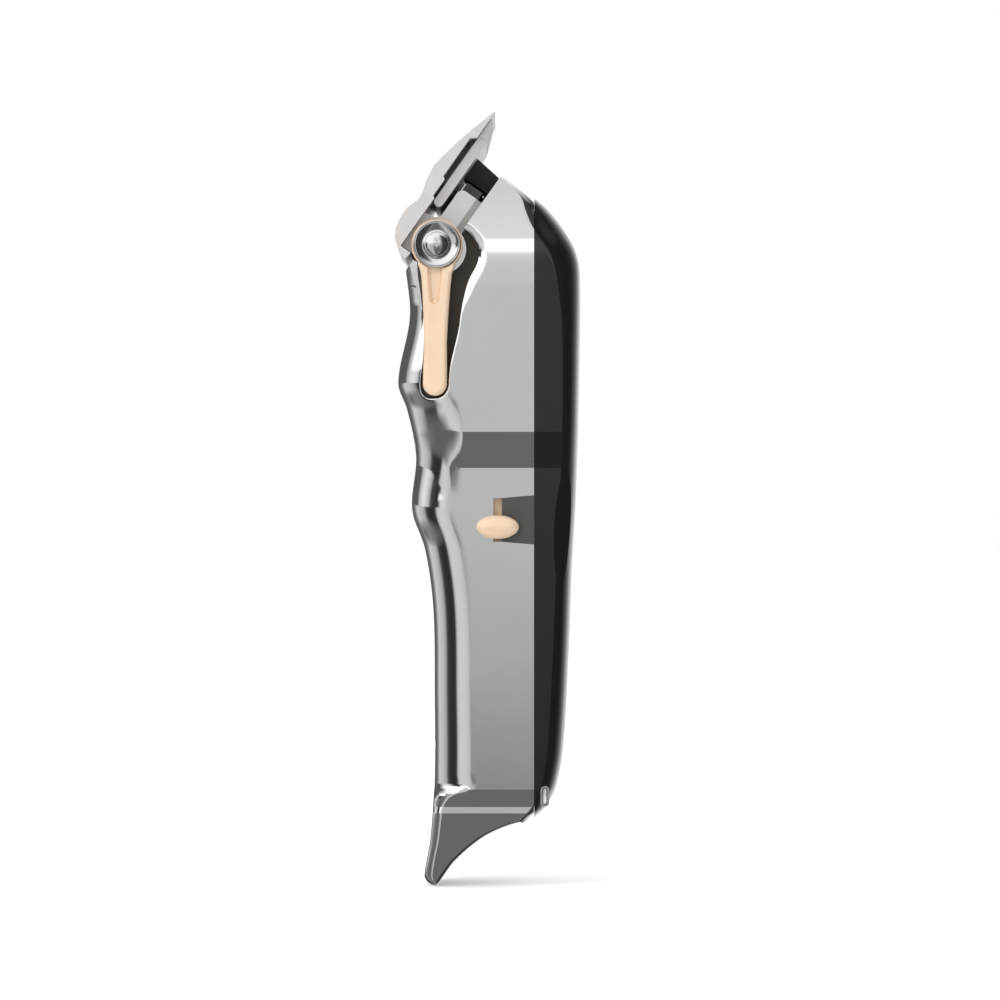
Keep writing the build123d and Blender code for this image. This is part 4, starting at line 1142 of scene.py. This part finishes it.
# ---------------------------------------------------------------- taper lever
@dataclass
class TaperLever:
    """Lever arm with its hub, cup washer and clamping screw."""

    pivot: tuple[float, float] = (-20.05, 132.85)
    end: tuple[float, float] = (-20.46, 104.27)
    end_radius: float = 2.47
    hub: float = 5.25
    cup: float = 4.9
    back: float = -20.5
    front: float = -23.5
    cup_seat: float = 0.7
    dish: float = 0.45
    edge_round: float = 0.85
    widths: Points = ((104.27, 2.47), (108.0, 2.44), (112.3, 2.36), (116.0, 2.46), (120.0, 2.66),
                      (124.0, 2.92), (126.6, 3.18), (128.2, 3.6), (129.3, 4.13))

    def centre(self, z: float) -> float:
        """Middle of the arm at a height."""
        share = (z - self.end[1]) / (self.pivot[1] - self.end[1])
        return self.end[0] + (self.pivot[0] - self.end[0]) * share

    def outline(self) -> list[tuple[float, float]]:
        """Closed outline of arm and hub, counter-clockwise in (x, z)."""
        top = self.widths[-1][0]
        lean = np.degrees(np.arccos((self.pivot[1] - top) / self.hub))
        heights = np.linspace(top, self.end[1], 44)
        hub = arc(self.pivot, self.hub, -90 + lean, 270 - lean, 72)
        left = [(self.centre(z) - hermite(self.widths, z), z) for z in heights[1:]]
        right = [(self.centre(z) + hermite(self.widths, z), z) for z in heights[::-1][:-1]]
        return hub + left + arc(self.end, self.end_radius, 180, 360, 28)[1:-1] + right

    def arm(self) -> None:
        """Lever with soft edges, a tapered groove, a cup seat and grip dots."""
        outline = self.outline()
        thick = self.back - self.front
        r = self.edge_round
        levels = [(0.0, 0.25), (0.12, 0.08), (0.3, 0.0), (thick - r, 0.0)]
        levels += [(thick - r + r * sin(a), r * (1 - cos(a))) for a in np.linspace(0.17, pi / 2 - 0.06, 9)]
        rings = []
        for height, inset in levels:
            loop = moved_out(outline, [-inset if z < 127 else -min(inset, 0.28) for _, z in outline])
            rings.append([(x, self.back - height, z) for x, z in loop])
        item = Workshop.stacked("taper_lever_arm", rings)
        groove = [(-22.05, 130.0), (-21.85, 125.0), (-21.6, 121.7)] + arc((-20.62, 121.6), 0.98, 180, 360, 18)
        groove += [(-19.25, 125.0), (-18.65, 130.0)]
        rings = []
        for depth, grow in ((-1.5, 0.12), (0.0, 0.1), (0.12, 0.0), (0.5, -0.07), (0.7, -0.18), (0.84, -0.34),
                            (0.94, -0.54), (0.99, -0.74)):
            rings.append([(x, self.front + depth, z) for x, z in moved_out(groove, [grow] * len(groove))])
        Workshop.cut(item, Workshop.stacked("groove", rings))
        seat = [(0, 4), (self.cup + 0.25, 4), (self.cup + 0.25, 0.0), (self.cup + 0.06, -0.18),
                (self.cup + 0.05, -self.cup_seat), (1.85, -self.cup_seat), (1.85, -6), (0, -6)]
        Workshop.cut(item, Workshop.turned("seat", seat, 96, self.on_pivot(self.front)))
        bead = [(0, -0.1), (0.26, -0.1), (0.24, 0.04), (0.17, 0.13), (0.08, 0.17), (0, 0.18)]
        dot = Workshop.turned("dot", bead, 16, about_origin)
        for x in (-22.15, -18.75):
            Repeats.add_row(item, dot, 5, (x, self.front + 0.17, 107.4), (0, 0, 0.85), Finishes.CHAMPAGNE,
                            (pi / 2, 0.0, 0.0))
        bpy.data.objects.remove(dot)
        Workshop.smooth(item, 24.0)
        Workshop.weigh(item)
        Workshop.finish(item, Finishes.CHAMPAGNE, "lever", "taper_lever")

    def on_pivot(self, y: float) -> Placer:
        """Placer for parts turned about the pivot, height growing outward from y."""
        return lambda a, b, h: (self.pivot[0] + a, y - h, self.pivot[1] + b)

    def washer(self) -> None:
        """Dished washer with a rolled rim."""
        base = self.front + self.cup_seat
        rim = [(self.cup - 0.19 + 0.19 * cos(a), 1.12 + 0.18 * sin(a)) for a in np.linspace(0, pi * 0.9, 9)]
        dish = [(4.5, 1.12), (4.3, 0.98), (4.0, 0.83), (3.7, 0.71), (3.4, 0.62), (3.1, 0.56), (2.96, 0.54)]
        profile = [(1.3, 0.0), (self.cup, 0.0), *rim, *dish, (1.3, self.dish)]
        item = Workshop.turned("cup_washer_ring", profile, 96, self.on_pivot(base))
        Workshop.smooth(item, 40.0)
        Workshop.finish(item, Finishes.TRIM, "lever", "cup_washer")

    def screw(self) -> None:
        """Domed screw with a small cross recess."""
        base = self.front + self.cup_seat - self.dish
        head = [(2.95, 0.0), (2.95, 0.42), (2.88, 0.56), (2.72, 0.66), (2.6, 0.72), (2.5, 0.86)]
        head += [(2.42 * cos(a), 0.98 + 0.7 * sin(a)) for a in np.linspace(0.1, pi / 2 - 0.05, 16)]
        profile = [(0, -6.0), (1.15, -6.0), (1.15, 0.0), *head, (0, 1.68)]
        item = Workshop.turned("lever_screw_head", profile, 72, self.on_pivot(base))
        Workshop.cut(item, Workshop.prism("cross", cross_outline(0.17, 0.72), 1.2, 3.0, self.on_pivot(base)))
        Workshop.smooth(item, 32.0)
        Workshop.finish(item, Finishes.TRIM, "lever", "lever_screw")

    def build(self) -> None:
        """Make arm, washer and screw."""
        self.arm()
        self.washer()
        self.screw()


@dataclass
class PowerSlide:
    """Oval thumb knob of the power slide."""

    centre: tuple[float, float] = (-7.6, 74.85)
    long: float = 4.4
    short: float = 2.45
    base: float = -19.7

    def build(self) -> None:
        """Make the knob: a crowned oval with a soft rim."""
        levels = [(0.0, 0.5), (0.14, 0.2), (0.4, 0.03), (0.7, 0.0), (1.05, 0.03), (1.4, 0.16), (1.7, 0.4),
                  (1.95, 0.75), (2.12, 1.15), (2.23, 1.6), (2.29, 2.05), (2.3, 2.3)]
        rings = []
        for height, inset in levels:
            a, b = self.long - inset, self.short - inset
            rings.append([(self.centre[0] + a * cos(t), self.base - height, self.centre[1] + b * sin(t))
                          for t in np.linspace(0, 2 * pi, 72, endpoint=False)])
        item = Workshop.stacked("switch_knob_cap", rings)
        Workshop.smooth(item, 30.0)
        Workshop.finish(item, Finishes.CHAMPAGNE, "slider", "switch_knob")


# ---------------------------------------------------------------- studio
@dataclass
class Studio:
    """Camera, floor and light."""

    lens: float = 175.0
    camera: tuple[float, float, float] = (-0.0021, -1.02, 0.0664)
    floor_z: float = -0.014

    def place_camera(self) -> None:
        """Level camera on the lever side."""
        eye = bpy.data.cameras.new("studio_camera")
        eye.lens = self.lens
        eye.sensor_width = 36.0
        eye.clip_start, eye.clip_end = 0.01, 20.0
        item = bpy.data.objects.new("studio_camera", eye)
        item.location = self.camera
        item.rotation_euler = (pi / 2, 0.0, 0.0)
        bpy.context.scene.collection.objects.link(item)
        bpy.context.scene.camera = item

    def lay_floor(self) -> None:
        """Plain pale floor."""
        mesh = bpy.data.meshes.new("studio_floor")
        mesh.from_pydata([(-6, -6, 0), (6, -6, 0), (6, 6, 0), (-6, 6, 0)], [], [(0, 1, 2, 3)])
        item = bpy.data.objects.new("studio_floor", mesh)
        item.location = (0, 0, self.floor_z)
        paper = bpy.data.materials.new("studio_paper")
        paper.use_nodes = True
        desk = NodeDesk(paper.node_tree)
        fibre = desk.noise(30.0, 2.0)
        tone = desk.ramp(fibre, [(0.2, 0.93), (0.8, 0.95)])
        surface = desk.add("ShaderNodeBsdfPrincipled", {}, {
            "Base Color": tone, "Roughness": 0.9, "Emission Color": (1, 1, 1, 1), "Emission Strength": 0.35})
        desk.add("ShaderNodeOutputMaterial", {}, {"Surface": surface})
        mesh.materials.append(paper)
        item.visible_glossy = False
        bpy.context.scene.collection.objects.link(item)

    def hang_light(self) -> None:
        """Soft key from the upper left that shades matt surfaces only."""
        lamp = bpy.data.lights.new("studio_key", "AREA")
        lamp.size, lamp.energy = 0.7, 5.0
        item = bpy.data.objects.new("studio_key", lamp)
        item.location = (-0.55, -0.85, 0.75)
        aim = Vector((0.0, 0.0, 0.07)) - item.location
        item.rotation_euler = aim.to_track_quat("-Z", "Y").to_euler()
        item.visible_glossy = False
        bpy.context.scene.collection.objects.link(item)

    def build_room(self) -> None:
        """World: white behind, and cards and dark gaps round the front that metal mirrors."""
        world = bpy.data.worlds.new("studio_room")
        bpy.context.scene.world = world
        world.use_nodes = True
        desk = NodeDesk(world.node_tree)
        direction = desk.add("ShaderNodeTexCoord", {}, {}, "Generated")
        split = desk.add("ShaderNodeSeparateXYZ", {}, {"Vector": direction}).socket.node
        x, y, z = (Wire(desk, out) for out in split.outputs)
        azimuth = desk.add("ShaderNodeMath", {"operation": "ARCTAN2"}, {0: x, 1: y * -1.0})
        around = azimuth / (2 * pi) + 0.5
        height = desk.ramp(z * 0.5 + 0.5, [
            (0.0, 0.14), (0.3, 0.136), (0.42, 0.13), (0.445, 0.165), (0.47, 0.26), (0.485, 0.42),
            (0.5, 0.505), (0.5225, 0.53), (0.535, 0.57), (0.5415, 0.63), (0.5455, 0.73), (0.5462, 1.07),
            (0.588, 1.07), (0.59, 0.74), (0.642, 0.73), (0.646, 0.69), (0.65, 0.61), (0.68, 0.8), (0.8, 1.0)])
        behind = [(-180, 1.0), (-168, 1.0), (-162, 0.1)]
        right_side = [(-20, 0.58), (-9, 0.48), (10, 0.46), (17, 0.05), (84, 0.03), (112, 0.04), (130, 0.12),
                      (148, 0.45), (160, 1.0)]
        deep = [*behind, (-118, 0.07), (-110, 0.2), (-100, 0.24), (-80, 0.16), (-66, 0.12), (-48, 0.12),
                (-36, 0.25), *right_side]
        level = [*behind, (-141, 0.12), (-132, 0.25), (-120, 0.62), (-106, 0.54), (-97, 0.48), (-90, 0.38),
                 (-81, 0.065), (-74, 0.035), (-62, 0.026), (-53, 0.045), (-47, 0.5), (-42, 0.62), (-29, 0.62),
                 *right_side]
        upper = [*behind, (-118, 0.1), (-110, 0.45), (-104, 0.62), (-92, 0.8), (-80, 0.62), (-72, 0.4),
                 (-66, 0.07), (-50, 0.028), (-43, 0.06), (-37, 0.6), (-29, 0.7), *right_side]
        rings = [desk.ramp(around, [(degrees / 360 + 0.5, tone) for degrees, tone in stops])
                 for stops in (deep, level, upper)]
        ring = self.mixed(desk, self.step(desk, z, -0.34, -0.24), rings[0], rings[1])
        ring = self.mixed(desk, self.step(desk, z, -0.012, 0.012), ring, rings[2])
        away = desk.add("ShaderNodeMath", {"operation": "ABSOLUTE"}, {0: azimuth})
        aside = self.step(desk, away, radians(9), radians(13))
        right = self.step(desk, azimuth, radians(0), radians(-4))
        for low, high, edge in ((0.05, 0.08, -46), (0.155, 0.185, -104)):
            card = self.step(desk, z, low, high) * self.step(desk, azimuth, radians(edge), radians(edge + 6))
            ring = self.mixed(desk, card * right, ring, (1.1, 1.1, 1.1, 1.0))
        front = self.mixed(desk, aside, height, ring)
        front = self.mixed(desk, self.step(desk, z, 0.55, 0.85), front, (0.95, 0.95, 0.95, 1.0))
        path = desk.add("ShaderNodeLightPath", {}, {}, "Is Camera Ray").socket.node
        plain = (path.outputs["Is Camera Ray"], path.outputs["Is Diffuse Ray"])
        tone = self.mixed(desk, Wire(desk, plain[1]), front, (0.82, 0.82, 0.82, 1.0))
        tone = self.mixed(desk, Wire(desk, plain[0]), tone, (1.0, 1.0, 1.0, 1.0))
        glow = desk.add("ShaderNodeBackground", {}, {"Color": tone, "Strength": 1.0})
        desk.add("ShaderNodeOutputWorld", {}, {"Surface": glow})

    @staticmethod
    def step(desk: NodeDesk, value: Wire, low: float, high: float) -> Wire:
        """0 at low to 1 at high, clamped."""
        return desk.add("ShaderNodeMapRange", {"clamp": True}, {
            "Value": value, "From Min": low, "From Max": high})

    @staticmethod
    def mixed(desk: NodeDesk, share: Wire, first: object, second: object) -> Wire:
        """Colour between two others."""
        node = desk.add("ShaderNodeMix", {"data_type": "RGBA"}, {}).socket.node
        for index, value in ((0, share), (6, first), (7, second)):
            if isinstance(value, Wire):
                desk.tree.links.new(value.socket, node.inputs[index])
            else:
                node.inputs[index].default_value = value
        return Wire(desk, node.outputs[2])

    def build(self) -> None:
        """Set the whole studio."""
        self.place_camera()
        self.lay_floor()
        self.hang_light()
        self.build_room()
        bpy.context.scene.view_settings.view_transform = "Standard"


class CadParts:
    """CAD nodes shown as they are, with finished surfaces."""

    def build(self) -> None:
        """Give every shown CAD node its finish."""
        for name, finish in NODE_FINISH.items():
            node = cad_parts[name]
            node.data.materials.clear()
            node.data.materials.append(finish.value.material())
            node.data.shade_smooth()
            node.data.set_sharp_from_angle(angle=radians(30))
            LOG.info("%s keeps its CAD mesh, finish %s", name, finish.name)


def main() -> None:
    """Build the clipper and its studio."""
    logging.basicConfig(level=logging.INFO, format="%(name)s: %(message)s")
    studio = Studio()
    studio.build()
    CadParts().build()
    Casing().build()
    blades = BladeSet()
    blades.fixed()
    blades.cutter()
    Fasteners().build()
    TaperLever().build()
    PowerSlide().build()


if __name__ == "__main__":
    main()
